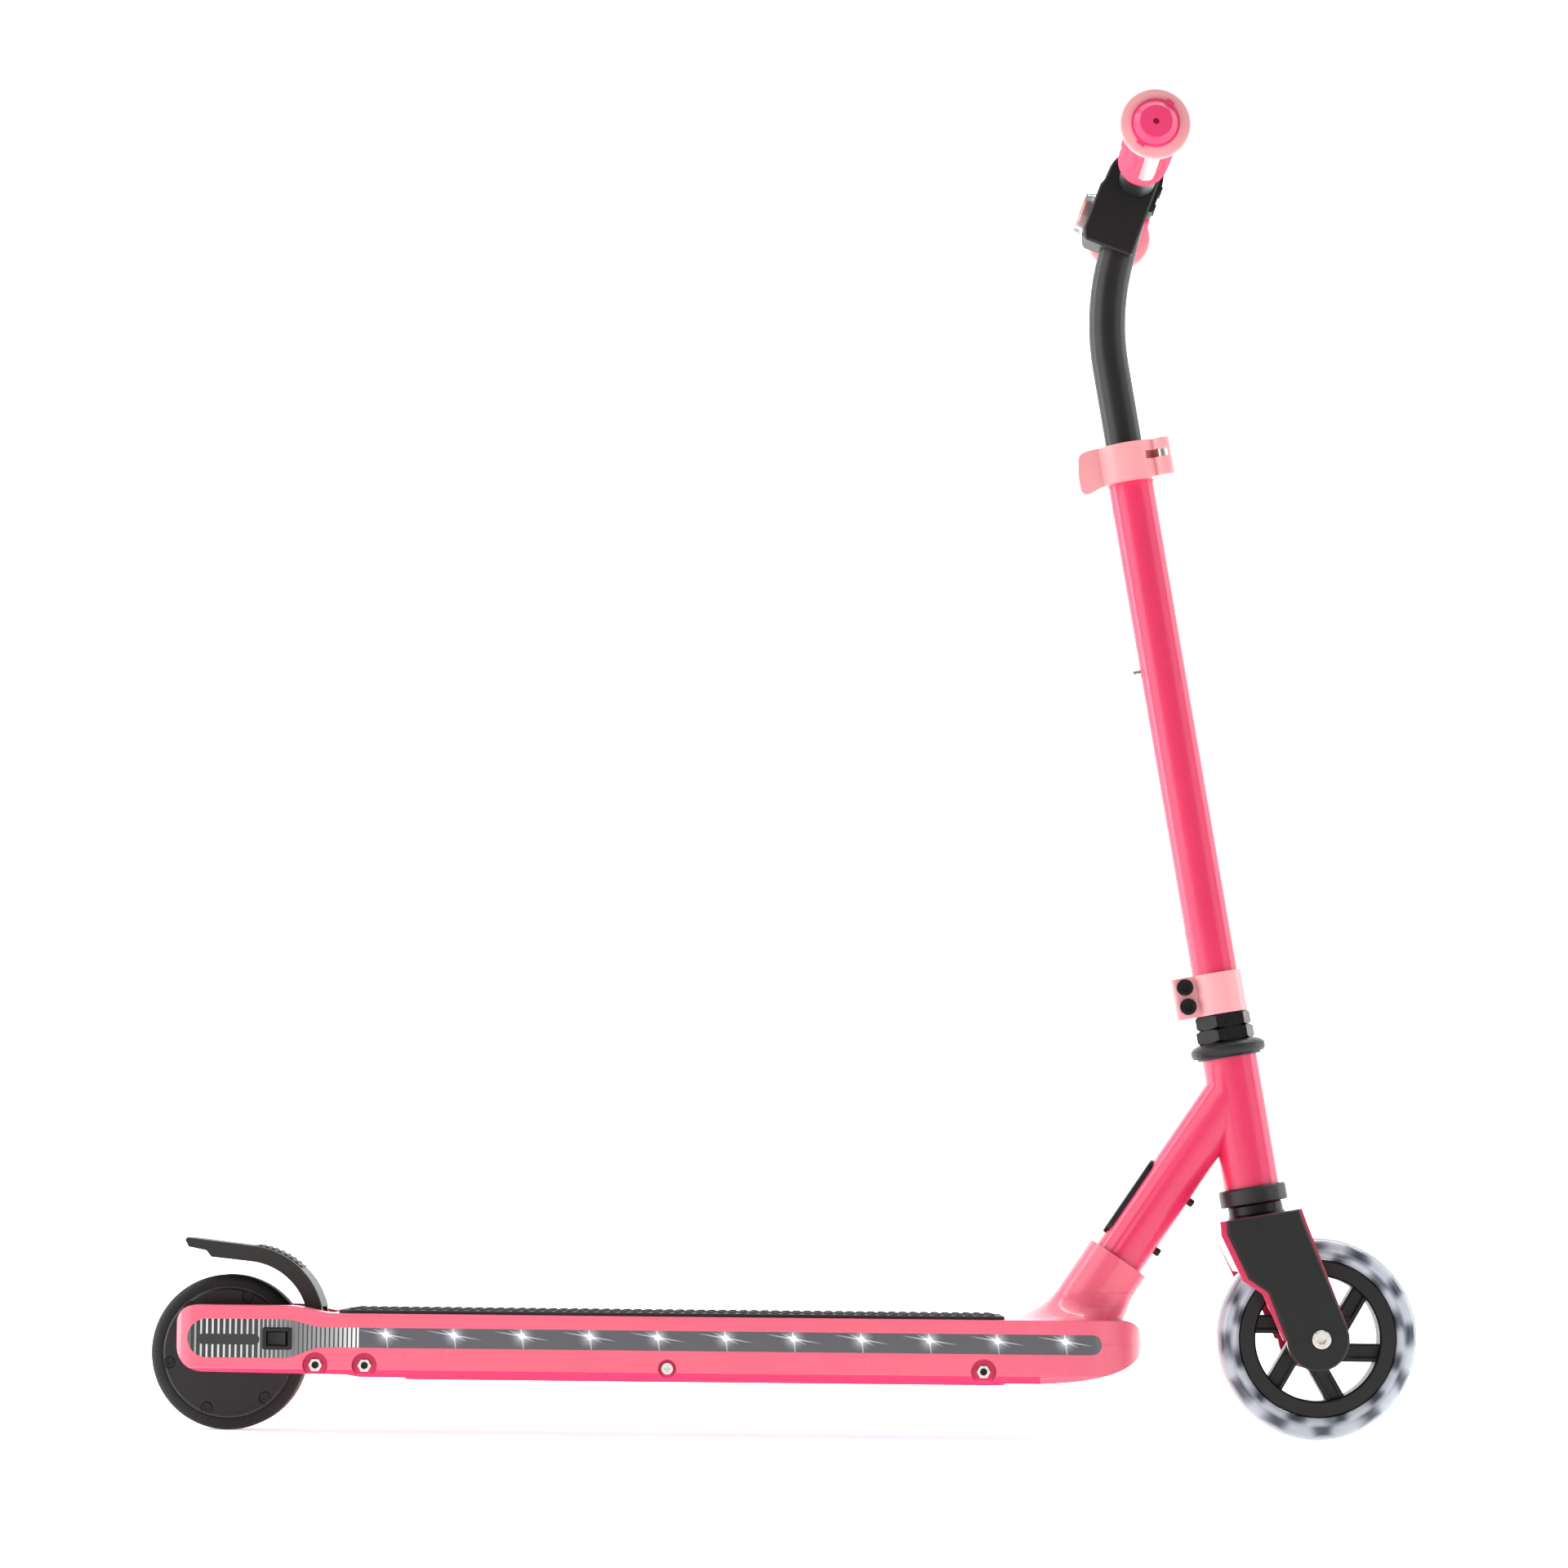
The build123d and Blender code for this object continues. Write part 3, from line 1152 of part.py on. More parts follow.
button_seat = -9.4
with BuildPart() as switch_body:
    with BuildSketch(face_plane.offset(button_seat)):
        with Locations((0, -3.0)):
            Rectangle(14, 12)
    extrude(amount=-6.5)
    add(bar_blank.part, mode=Mode.SUBTRACT)
pieces["throttle_switch"] = switch_body.part

with BuildPart() as housing_screws:
    for y in (-housing_half + 8, housing_half - 8):
        for along in (cover_low + 4.0, 0.5):
            spot = bar_centre + housing_fwd * front_reach + housing_dir * along + Vector(0, y, 0)
            with BuildSketch(Plane(origin=spot, x_dir=(0, 1, 0), z_dir=housing_fwd)):
                Circle(2.2)
            extrude(amount=0.9)
pieces["housing_screws"] = housing_screws.part

# ------------------------------------------------------------------ grips
flange_y = bar_width / 2 - 8.0          # outer face of the flange
flange_thick = 4.0
tongue_end = 98.0
tongue_w = 8.6
grip_in = bar_r
grips, flanges, caps = {}, {}, {}
for side in (-1, 1):
    inner = bar_plane.offset(-side * grip_inner_y)
    with BuildPart() as grip:
        with BuildSketch(inner):
            Circle(grip_ring_r)
        extrude(amount=-side * 4.5)
        chamfer(grip.edges().filter_by(GeomType.CIRCLE), 0.8)
        with BuildSketch(inner):
            Circle(grip_r)
        extrude(amount=-side * (flange_y - flange_thick - grip_inner_y))
        with BuildSketch(inner):
            Circle(grip_in)
        extrude(amount=-side * bar_width, mode=Mode.SUBTRACT)
        with BuildSketch(bar_plane.offset(-side * tongue_end)):
            with Locations((0, -grip_r)):
                Rectangle(tongue_w, 2.4)
        extrude(amount=-side * 100, mode=Mode.SUBTRACT)
    grips[side] = grip.part
    with BuildPart() as flange:
        with BuildSketch(bar_plane.offset(-side * (flange_y - flange_thick))):
            Circle(flange_r)
        extrude(amount=-side * flange_thick)
        fillet(flange.edges().filter_by(GeomType.CIRCLE), 1.6)
        with BuildSketch(bar_plane.offset(-side * tongue_end)):
            with Locations((0, -grip_r + 0.3)):
                Rectangle(tongue_w, 1.8)
        extrude(amount=-side * (flange_y - flange_thick - tongue_end + 1))
        with BuildSketch(inner):
            Circle(bar_r)
        extrude(amount=-side * bar_width, mode=Mode.SUBTRACT)
    flanges[side] = flange.part
    with BuildPart() as cap:
        with BuildSketch(bar_plane.offset(-side * flange_y)):
            Circle(cap_r)
            for turn in (55, 235):
                with Locations(Location((0, 0), turn)):
                    with Locations((cap_r, 0)):
                        Rectangle(3.0, 5.0)
        extrude(amount=-side * 3.0)
        with BuildSketch(bar_plane.offset(-side * (flange_y + 3))):
            Circle(cap_r - 1.2)
        with BuildSketch(bar_plane.offset(-side * (flange_y + 7))):
            Circle(9.4)
        loft()
        with BuildSketch(bar_plane.offset(-side * (flange_y + 7))):
            Circle(9.2)
        extrude(amount=-side * 1.0)
        with BuildSketch(bar_plane.offset(-side * flange_y)):
            Circle(bar_r - tube_wall)
        extrude(amount=side * 12)
        with BuildSketch(bar_plane.offset(-side * (flange_y + 8))):
            Circle(1.8)
        extrude(amount=side * 5, mode=Mode.SUBTRACT)
    caps[side] = cap.part
pieces["grips"] = group(*grips.values())
pieces["grip_flanges"] = group(*flanges.values())
pieces["end_caps"] = group(*caps.values())

# ------------------------------------------------------------------ neck pad
pad_half_length = 26.0
pad_half_width = 6.5
pad_proud = 3.0
with BuildPart() as neck_pad:
    with BuildSketch(Plane(origin=neck_joint, x_dir=neck_dir, z_dir=-neck_fwd)) as pad_outline:
        with Locations((pad_centre, 0)):
            SlotOverall(2 * pad_half_length, 2 * pad_half_width)
    extrude(amount=down_tube_r + pad_proud - 1.2)
    fillet(neck_pad.faces().sort_by(Axis(neck_joint, neck_fwd))[0].edges(), 1.0)
    with BuildSketch(neck.offset(pad_centre)):
        Circle(down_tube_r)
    extrude(amount=60, both=True, mode=Mode.SUBTRACT)
with BuildPart() as pad:
    add(neck_pad.part.solids().sort_by(Axis(neck_joint, neck_fwd))[0])
pieces["neck_pad"] = pad.part
with BuildPart() as pad_bolts:
    with BuildSketch(Plane(origin=neck_joint, x_dir=neck_dir, z_dir=neck_fwd)):
        with Locations(*[(a, 0) for a in pad_screws]):
            Circle(1.9)
    extrude(amount=down_tube_r)
    with BuildSketch(Plane(origin=neck_joint, x_dir=neck_dir, z_dir=neck_fwd)):
        with Locations(*[(a, 0) for a in pad_screws]):
            Circle(1.9)
    extrude(amount=-down_tube_r + 1.0)
    with BuildSketch(Plane(origin=neck_joint + neck_fwd * down_tube_r, x_dir=neck_dir, z_dir=neck_fwd)):
        with Locations(*[(a, 0) for a in pad_screws]):
            Circle(2.4)
    extrude(amount=3.3)
    fillet(pad_bolts.edges().filter_by(GeomType.CIRCLE).sort_by(Axis(neck_joint, neck_fwd))[-2:], 1.0)
pieces["deck_screws"] = group(seat_bolt_set.part, cover_screws.part, pad_bolts.part)

# ------------------------------------------------------------------ rear wheel with hub motor
rear_tyre_half = 15.0
shell_half = 14.0
hub_shell_r = 39.0
hub_cover_r = 37.8
hub_face = 18.4
hub_bearing_r = 11.0
cover_bolt_r = 35.2 - 0.4
cover_bolt_turn = -10.5
stator_r = 31.0
stator_half = 8.5
pieces["rear_tyre"] = tyre_ring(rear_axle, hub_shell_r, rear_wheel_r, rear_tyre_half, 6.0)

with BuildPart() as hub_shell:
    with BuildSketch(rear_hub):
        Circle(hub_shell_r)
        Circle(hub_shell_r - 5.5, mode=Mode.SUBTRACT)
    extrude(amount=shell_half, both=True)
pieces["motor_shell"] = hub_shell.part

with BuildPart() as hub_covers:
    for side in (-1, 1):
        with BuildSketch(rear_hub.offset(-side * shell_half)):
            Circle(hub_cover_r)
        extrude(amount=-side * (hub_face - shell_half))
        with BuildSketch(rear_hub.offset(-side * (shell_half - 4.0))):
            Circle(hub_bearing_r + 2.5)
        extrude(amount=-side * 4.0)
    chamfer(hub_covers.faces().sort_by(Axis.Y)[0].edges(), 0.8)
    chamfer(hub_covers.faces().sort_by(Axis.Y)[-1].edges(), 0.8)
    with BuildSketch(rear_hub):
        Circle(hub_bearing_r)
    extrude(amount=hub_face - 1.4, both=True, mode=Mode.SUBTRACT)
    with BuildSketch(rear_hub):
        Circle(motor_axle_r + 1.0)
    extrude(amount=hub_face + 1, both=True, mode=Mode.SUBTRACT)
    for side in (-1, 1):
        with BuildSketch(rear_hub.offset(side * hub_face)):
            with PolarLocations(cover_bolt_r, 6, start_angle=-cover_bolt_turn):
                Circle(3.6)
        extrude(amount=-side * 1.6, mode=Mode.SUBTRACT)
pieces["motor_covers"] = hub_covers.part

with BuildPart() as hub_screws:
    for side in (-1, 1):
        with BuildSketch(rear_hub.offset(side * (hub_face - 1.6))):
            with PolarLocations(cover_bolt_r, 6, start_angle=-cover_bolt_turn):
                Circle(3.0)
        extrude(amount=side * 1.5)
        with BuildSketch(rear_hub.offset(side * (hub_face - 0.1))):
            with PolarLocations(cover_bolt_r, 6, start_angle=-cover_bolt_turn):
                RegularPolygon(1.5, 6)
        extrude(amount=-side * 1.0, mode=Mode.SUBTRACT)
pieces["motor_cover_screws"] = hub_screws.part

with BuildPart() as hub_bearings:
    for side in (-1, 1):
        with BuildSketch(rear_hub.offset(side * (hub_face - 1.4))):
            Circle(hub_bearing_r)
            Circle(motor_axle_r + running, mode=Mode.SUBTRACT)
        extrude(amount=-side * 7.0)
pieces["motor_bearings"] = hub_bearings.part

# Stator: wound core pressed on the fixed axle, twelve poles.
with BuildPart() as stator:
    with BuildSketch(rear_hub):
        Circle(stator_r)
        with PolarLocations(stator_r - 8, 12):
            Rectangle(12, 2.6, mode=Mode.SUBTRACT)
        Circle(motor_axle_r, mode=Mode.SUBTRACT)
    extrude(amount=stator_half, both=True)
pieces["motor_stator"] = stator.part

axle_half = dropout_y + dropout_thick + 8.0
with BuildPart() as motor_axle:
    with BuildSketch(rear_hub):
        Circle(motor_axle_r)
    extrude(amount=axle_half, both=True)
    for side in (-1, 1):
        with BuildSketch(rear_hub.offset(side * (hub_face + air))):
            Circle(6.6)
        extrude(amount=side * (dropout_y - hub_face - air))
pieces["motor_axle"] = motor_axle.part

with BuildPart() as axle_nuts:
    for side in (-1, 1):
        with BuildSketch(rear_hub.offset(side * (dropout_y + dropout_thick))):
            RegularPolygon(6.5, 6, major_radius=False, rotation=30)
            Circle(motor_axle_r, mode=Mode.SUBTRACT)
        extrude(amount=side * 6.5)
pieces["axle_nuts"] = axle_nuts.part

# ------------------------------------------------------------------ rear fender brake
fender_half = 22.0
fender_skirt = 2.2
fender_plate = 3.0
fender_arc_r = 47.6
fender_depth = 9.4
arc_centre = (rear_axle_x + 9.8, rear_wheel_r + 15.8)
arc_low = 14.0              # angles of the arc's ends about its centre
arc_high = 84.0
tail_x = rear_axle_x - 25.8
tail_z = rear_wheel_r + 67.8
skirt_end_x = rear_axle_x - 10.2
barrel_out = 5.0
tail_depth = 5.6

with BuildPart() as fender_blank:
    with BuildSketch(Plane.XZ):
        with BuildLine():
            over = CenterArc(arc_centre, fender_arc_r, arc_low, arc_high - arc_low)
            under = CenterArc(arc_centre, fender_arc_r - fender_depth, arc_low, arc_high - arc_low)
            Line(over @ 0, under @ 0)
            slope = tan(radians(90 - arc_high))
            corner_z = (under @ 1).Y + ((under @ 1).X - skirt_end_x) * slope
            tail_low_z = tail_z - tail_depth
            Polyline(over @ 1, (tail_x + 1.0, tail_z), (tail_x, tail_z - 1.6), (tail_x + 2.0, tail_low_z),
                     (skirt_end_x - 3.0, corner_z + fender_depth - tail_depth), (skirt_end_x, corner_z), under @ 1)
        make_face()
    extrude(amount=fender_half, both=True)
    rim_edges = fender_blank.faces().filter_by(Axis.Y).edges().filter_by(lambda e: e.length > 35)
    chamfer(rim_edges.sort_by(Axis.Z)[-4:], 0.8)
with BuildPart() as fender_hollow:
    with BuildSketch(Plane.XZ):
        with Locations(arc_centre):
            Circle(fender_arc_r - fender_plate)
        with Locations(arc_centre):
            Rectangle(120, 2 * (fender_arc_r - fender_plate), rotation=arc_high - 90,
                      align=(Align.MAX, Align.CENTER))
    extrude(amount=fender_half - fender_skirt, both=True)
with BuildPart() as fender:
    add(fender_blank.part)
    add(fender_hollow.part, mode=Mode.SUBTRACT)
    for side in (-1, 1):
        with BuildSketch(Plane.XZ.offset(-side * (fender_half - 8.0))):
            with Locations((hinge_x, hinge_z)):
                Circle(barrel_out)
            Polygon((hinge_x - 4.6, hinge_z + 2), (hinge_x + 4.9, hinge_z + 1),
                    (arc_centre[0] + (fender_arc_r - 0.6) * cos(radians(arc_low + 2)),
                     arc_centre[1] + (fender_arc_r - 0.6) * sin(radians(arc_low + 2))),
                    (arc_centre[0] + (fender_arc_r - fender_depth + 0.8) * cos(radians(arc_low + 2)),
                     arc_centre[1] + (fender_arc_r - fender_depth + 0.8) * sin(radians(arc_low + 2))), align=None)
        extrude(amount=-side * 8.0)
    with BuildSketch(Plane.XZ):
        with Locations((hinge_x, hinge_z)):
            Circle(hinge_pin_r + running)
    extrude(amount=fender_half + 1, both=True, mode=Mode.SUBTRACT)
pieces["fender"] = fender.part

with BuildPart() as fender_pin:
    with BuildSketch(Plane.XZ):
        with Locations((hinge_x, hinge_z)):
            Circle(hinge_pin_r)
    extrude(amount=pod_inner + wall + 0.5, both=True)
pieces["fender_pin"] = fender_pin.part

with BuildPart() as fender_spring:
    with BuildSketch(Plane.XZ):
        with Locations((hinge_x, hinge_z)):
            Circle(hinge_pin_r + 1.9)
            Circle(hinge_pin_r + running, mode=Mode.SUBTRACT)
    extrude(amount=fender_half - 8.0 - air, both=True)
pieces["fender_spring"] = fender_spring.part

# ------------------------------------------------------------------ write one file per node
for name, piece in pieces.items():
    piece.label = name
    export_step(piece, f"parts/{name}.step")
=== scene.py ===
from math import cos, pi, radians, sin

import bmesh
import bpy
from mathutils import Matrix, Vector


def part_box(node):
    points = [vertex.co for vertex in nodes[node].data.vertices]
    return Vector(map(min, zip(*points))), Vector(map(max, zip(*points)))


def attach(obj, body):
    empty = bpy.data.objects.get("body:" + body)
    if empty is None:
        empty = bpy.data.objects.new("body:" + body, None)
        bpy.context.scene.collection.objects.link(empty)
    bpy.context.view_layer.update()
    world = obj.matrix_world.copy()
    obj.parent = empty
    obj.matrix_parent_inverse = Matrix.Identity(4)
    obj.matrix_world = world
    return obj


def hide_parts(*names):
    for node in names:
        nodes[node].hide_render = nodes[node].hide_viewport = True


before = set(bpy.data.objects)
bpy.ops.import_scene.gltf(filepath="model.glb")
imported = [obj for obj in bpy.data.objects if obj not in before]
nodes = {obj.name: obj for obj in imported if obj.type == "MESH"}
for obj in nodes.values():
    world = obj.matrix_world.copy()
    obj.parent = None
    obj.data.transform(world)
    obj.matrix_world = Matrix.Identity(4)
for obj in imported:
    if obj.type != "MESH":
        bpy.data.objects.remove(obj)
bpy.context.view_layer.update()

scene = bpy.context.scene

# ------------------------------------------------------------------ studio
# A long lens looks level across the floor at the scooter's right side, a little from below the
# handlebar. The floor runs up into a curved paper backdrop, and the light is soft and white.
lens_mm = 125.469
camera_place = Vector((0.010648, -3.274, 0.134371))
camera_yaw, camera_pitch, camera_roll = radians(-0.260), radians(4.441), radians(0.5917)

aim = Vector((sin(camera_yaw) * cos(camera_pitch), cos(camera_yaw) * cos(camera_pitch), sin(camera_pitch)))
level_right = aim.cross(Vector((0, 0, 1))).normalized()
level_up = level_right.cross(aim)
right = level_right * cos(camera_roll) + level_up * sin(camera_roll)
up = level_up * cos(camera_roll) - level_right * sin(camera_roll)
lens = bpy.data.cameras.new("side_camera")
lens.lens = lens_mm
lens.sensor_width = 36.0
lens.clip_end = 60.0
camera = bpy.data.objects.new("side_camera", lens)
camera.matrix_world = Matrix.Translation(camera_place) @ Matrix((right, up, -aim)).transposed().to_4x4()
scene.collection.objects.link(camera)
scene.camera = camera


def linear(code):
    """An sRGB hex colour such as "F47C8E" as linear RGBA."""
    channels = [int(code[i:i + 2], 16) / 255 for i in (0, 2, 4)]
    return [c / 12.92 if c <= 0.04045 else ((c + 0.055) / 1.055) ** 2.4 for c in channels] + [1.0]


def add_node(tree, kind, settings=None, sockets=None):
    """Adds one node: settings are its properties, sockets its values or the sockets that feed it."""
    node = tree.nodes.new(kind)
    for name, value in (settings or {}).items():
        setattr(node, name, value)
    for name, value in (sockets or {}).items():
        if isinstance(value, bpy.types.NodeSocket):
            tree.links.new(value, node.inputs[name])
        else:
            node.inputs[name].default_value = value
    return node


def blank_finish(name):
    """An empty material and its node tree, with the output ready."""
    finish = bpy.data.materials.new(name)
    finish.use_nodes = True
    finish.node_tree.nodes.clear()
    return finish, finish.node_tree, finish.node_tree.nodes.new("ShaderNodeOutputMaterial")


def piece_of(name, form, finish, smooth=True):
    """A bmesh as an object at the origin, in its one finish."""
    mesh = bpy.data.meshes.new(name)
    form.to_mesh(mesh)
    form.free()
    mesh.materials.append(finish)
    for face in mesh.polygons:
        face.use_smooth = smooth
    made = bpy.data.objects.new(name, mesh)
    scene.collection.objects.link(made)
    return made


backdrop_paper, paper, paper_out = blank_finish("backdrop_paper")
shader = add_node(paper, "ShaderNodeBsdfPrincipled", None,
                  {"Base Color": linear("F8F8F8"), "Roughness": 0.9, "Specular IOR Level": 0.1,
                   "Emission Color": linear("FFFFFF"), "Emission Strength": 0.56})
paper.links.new(shader.outputs[0], paper_out.inputs[0])
sweep = bmesh.new()
bend_r, floor_back, wall_top, half_wide, floor_front = 1.2, 3.2, 6.5, 9.0, -7.0
line = [(floor_front, 0.0), (floor_back, 0.0)]
line += [(floor_back + bend_r * sin(pi / 2 * i / 12), bend_r - bend_r * cos(pi / 2 * i / 12)) for i in range(1, 13)]
line += [(floor_back + bend_r, wall_top)]
rows = [[sweep.verts.new((x, y, z)) for x in (-half_wide, half_wide)] for y, z in line]
for low, high in zip(rows, rows[1:]):
    sweep.faces.new((low[0], low[1], high[1], high[0]))
backdrop = piece_of("backdrop", sweep, backdrop_paper)

scene.view_settings.view_transform = "Standard"
sky = bpy.data.worlds.new("soft_studio")
scene.world = sky
sky.use_nodes = True
sky.node_tree.nodes["Background"].inputs[0].default_value = (1.0, 1.0, 1.0, 1.0)
sky.node_tree.nodes["Background"].inputs[1].default_value = 0.27
for name, place, aimed_at, size, watts in (
        ("left_softbox", (-2.5, -1.5, 1.3), (0, 0, 0.35), (2.0, 2.8), 40),
        ("right_softbox", (2.5, -1.2, 1.2), (0.1, 0, 0.35), (1.4, 2.6), 13),
        ("left_rim", (-2.1, 0.5, 0.9), (0, 0, 0.4), (0.8, 2.8), 34),
        ("right_rim", (2.2, 0.5, 0.9), (0.1, 0, 0.4), (0.8, 2.8), 20),
        ("overhead", (0.0, 0.2, 2.6), (0, 0, 0), (2.6, 1.6), 18),
        ("backdrop_light", (0.0, 1.4, 3.4), (0, 3.9, 1.0), (5.0, 0.8), 190)):
    lamp = bpy.data.lights.new(name, "AREA")
    lamp.shape = "RECTANGLE"
    lamp.size, lamp.size_y = size
    lamp.energy = watts
    box = bpy.data.objects.new(name, lamp)
    box.location = place
    box.rotation_euler = (Vector(aimed_at) - Vector(place)).to_track_quat("-Z", "Y").to_euler()
    scene.collection.objects.link(box)

# ------------------------------------------------------------------ deck shells
# Two shells of ABS, injection moulded and polished, clipped round the battery, and a cover for the
# neck's sleeve. The coral is coloured right through; the mould leaves a faint orange peel.
edge_soft = 0.0006


def shade_by_angle(node, limit=32.0):
    """A CAD piece's loose triangles joined, smooth over its curves and sharp over its edges."""
    rounding = nodes[node].modifiers.new("shade_by_angle", "NODES")
    rounding.node_group = angle_tree
    for item in angle_tree.interface.items_tree:
        if item.name == "Angle":
            rounding[item.identifier] = radians(limit)


angle_tree = bpy.data.node_groups.new("shade_by_angle", "GeometryNodeTree")
angle_tree.interface.new_socket("Geometry", in_out="INPUT", socket_type="NodeSocketGeometry")
angle_tree.interface.new_socket("Angle", in_out="INPUT", socket_type="NodeSocketFloat")
angle_tree.interface.new_socket("Geometry", in_out="OUTPUT", socket_type="NodeSocketGeometry")
given = add_node(angle_tree, "NodeGroupInput")
joined = add_node(angle_tree, "GeometryNodeMergeByDistance", None, {"Geometry": given.outputs[0], "Distance": 2e-6})
edge_angle = add_node(angle_tree, "GeometryNodeInputMeshEdgeAngle")
gentle = add_node(angle_tree, "FunctionNodeCompare", {"data_type": "FLOAT", "operation": "LESS_THAN"},
                  {0: edge_angle.outputs["Unsigned Angle"], 1: given.outputs[1]})
faces_smooth = add_node(angle_tree, "GeometryNodeSetShadeSmooth", {"domain": "FACE"},
                        {"Geometry": joined.outputs[0], "Shade Smooth": True})
edges_smooth = add_node(angle_tree, "GeometryNodeSetShadeSmooth", {"domain": "EDGE"},
                        {"Geometry": faces_smooth.outputs[0], "Shade Smooth": gentle.outputs[0]})
add_node(angle_tree, "NodeGroupOutput", None, {0: edges_smooth.outputs[0]})


def moulded_plastic(name, colour, roughness, grain_mm, grain_depth_mm, coat=0.0, shift=0.05, ior=1.46):
    """Injection-moulded plastic: even colour with a slight drift, a fine grain and softened edges."""
    finish, tree, out = blank_finish(name)
    where = add_node(tree, "ShaderNodeTexCoord").outputs["Object"]
    drift = add_node(tree, "ShaderNodeTexNoise", None, {"Vector": where, "Scale": 1000 / 60, "Detail": 2.0})
    dye = add_node(tree, "ShaderNodeHueSaturation", None,
                   {"Color": linear(colour), "Saturation": 1.0, "Hue": 0.5})
    tone = add_node(tree, "ShaderNodeMapRange", None, {"Value": drift.outputs[0], "From Min": 0.3, "From Max": 0.7,
                                                       "To Min": 1.0 - shift, "To Max": 1.0 + shift})
    tree.links.new(tone.outputs[0], dye.inputs["Value"])
    grain = add_node(tree, "ShaderNodeTexNoise", None, {"Vector": where, "Scale": 1000 / grain_mm, "Detail": 3.0})
    gloss = add_node(tree, "ShaderNodeMapRange", None, {"Value": grain.outputs[0], "From Min": 0.3, "From Max": 0.7,
                                                        "To Min": roughness * 0.85, "To Max": roughness * 1.15})
    soft_edge = add_node(tree, "ShaderNodeBevel", {"samples": 4}, {"Radius": edge_soft})
    relief = add_node(tree, "ShaderNodeBump", None, {"Strength": 1.0, "Distance": grain_depth_mm / 1000,
                                                     "Height": grain.outputs[0], "Normal": soft_edge.outputs[0]})
    shader = add_node(tree, "ShaderNodeBsdfPrincipled", None,
                      {"Base Color": dye.outputs[0], "Roughness": gloss.outputs[0], "IOR": ior,
                       "Coat Weight": coat, "Coat Roughness": 0.08, "Normal": relief.outputs[0]})
    tree.links.new(shader.outputs[0], out.inputs[0])
    return finish


def dress(finish, *names):
    """CAD nodes take a finish, with their shading set."""
    for name in names:
        nodes[name].data.materials.clear()
        nodes[name].data.materials.append(finish)
        shade_by_angle(name)


# Painted shade on the lower shell: deep pink on the skirt below skirt_z and behind skirt_x, and in round discs of the
# listed radii about the nuts at fixing_z.
skirt_z, skirt_x = 0.0374, 0.150
fixing_z = 0.0400
recesses = ((-0.2757, 0.0075), (-0.2468, 0.0075), (-0.0690, 0.0054), (0.1167, 0.0075))
coral_abs = moulded_plastic("coral_abs_moulded", "E8637B", 0.32, 2.5, 0.012, coat=0.25)
pale_abs = moulded_plastic("pale_pink_abs_moulded", "F6AEB2", 0.42, 2.5, 0.012, coat=0.15)
deep_pink_abs = moulded_plastic("deep_pink_abs_moulded", "EE3E74", 0.34, 2.5, 0.012, coat=0.2)
dress(coral_abs, "deck_upper_shell", "neck_front_cover")
# The lower shell's coral, with a deep pink of painted shade on its lower skirt and round its nuts.
coral_low = moulded_plastic("coral_abs_painted_shade", "E8637B", 0.32, 2.5, 0.012, coat=0.25)
tree = coral_low.node_tree
where = add_node(tree, "ShaderNodeTexCoord").outputs["Object"]
axes = add_node(tree, "ShaderNodeSeparateXYZ", None, {0: where})
skirt_shade = add_node(tree, "ShaderNodeMapRange", {"interpolation_type": "SMOOTHSTEP"},
                 {"Value": axes.outputs[2], "From Min": skirt_z - 0.0002, "From Max": skirt_z + 0.0002,
                  "To Min": 1.0, "To Max": 0.0})
behind = add_node(tree, "ShaderNodeMath", {"operation": "LESS_THAN"}, {0: axes.outputs[0], 1: skirt_x})
painted_shade = add_node(tree, "ShaderNodeMath", {"operation": "MULTIPLY"}, {0: skirt_shade.outputs[0], 1: behind.outputs[0]})
for x, radius in recesses:
    off = add_node(tree, "ShaderNodeVectorMath", {"operation": "MULTIPLY_ADD"},
                   {0: where, 1: (1.0, 0.0, 1.0), 2: (-x, 0.0, -fixing_z)})
    away = add_node(tree, "ShaderNodeVectorMath", {"operation": "LENGTH"}, {0: off.outputs[0]})
    inside = add_node(tree, "ShaderNodeMath", {"operation": "LESS_THAN"}, {0: away.outputs["Value"], 1: radius})
    painted_shade = add_node(tree, "ShaderNodeMath", {"operation": "MAXIMUM"}, {0: painted_shade.outputs[0], 1: inside.outputs[0]})
tint = next(node for node in tree.nodes if node.bl_idname == "ShaderNodeHueSaturation")
# Mixes in DE1C62 as painted shade wherever the skirt and nut masks are set.
shaded_coral = add_node(tree, "ShaderNodeMix", {"data_type": "RGBA"},
                 {0: painted_shade.outputs[0], 6: tint.outputs[0], 7: linear("DE1C62")})
shader = next(node for node in tree.nodes if node.bl_idname == "ShaderNodeBsdfPrincipled")
tree.links.new(shaded_coral.outputs[2], shader.inputs["Base Color"])
dress(coral_low, "deck_lower_shell")
dress(deep_pink_abs, "bottom_cover")

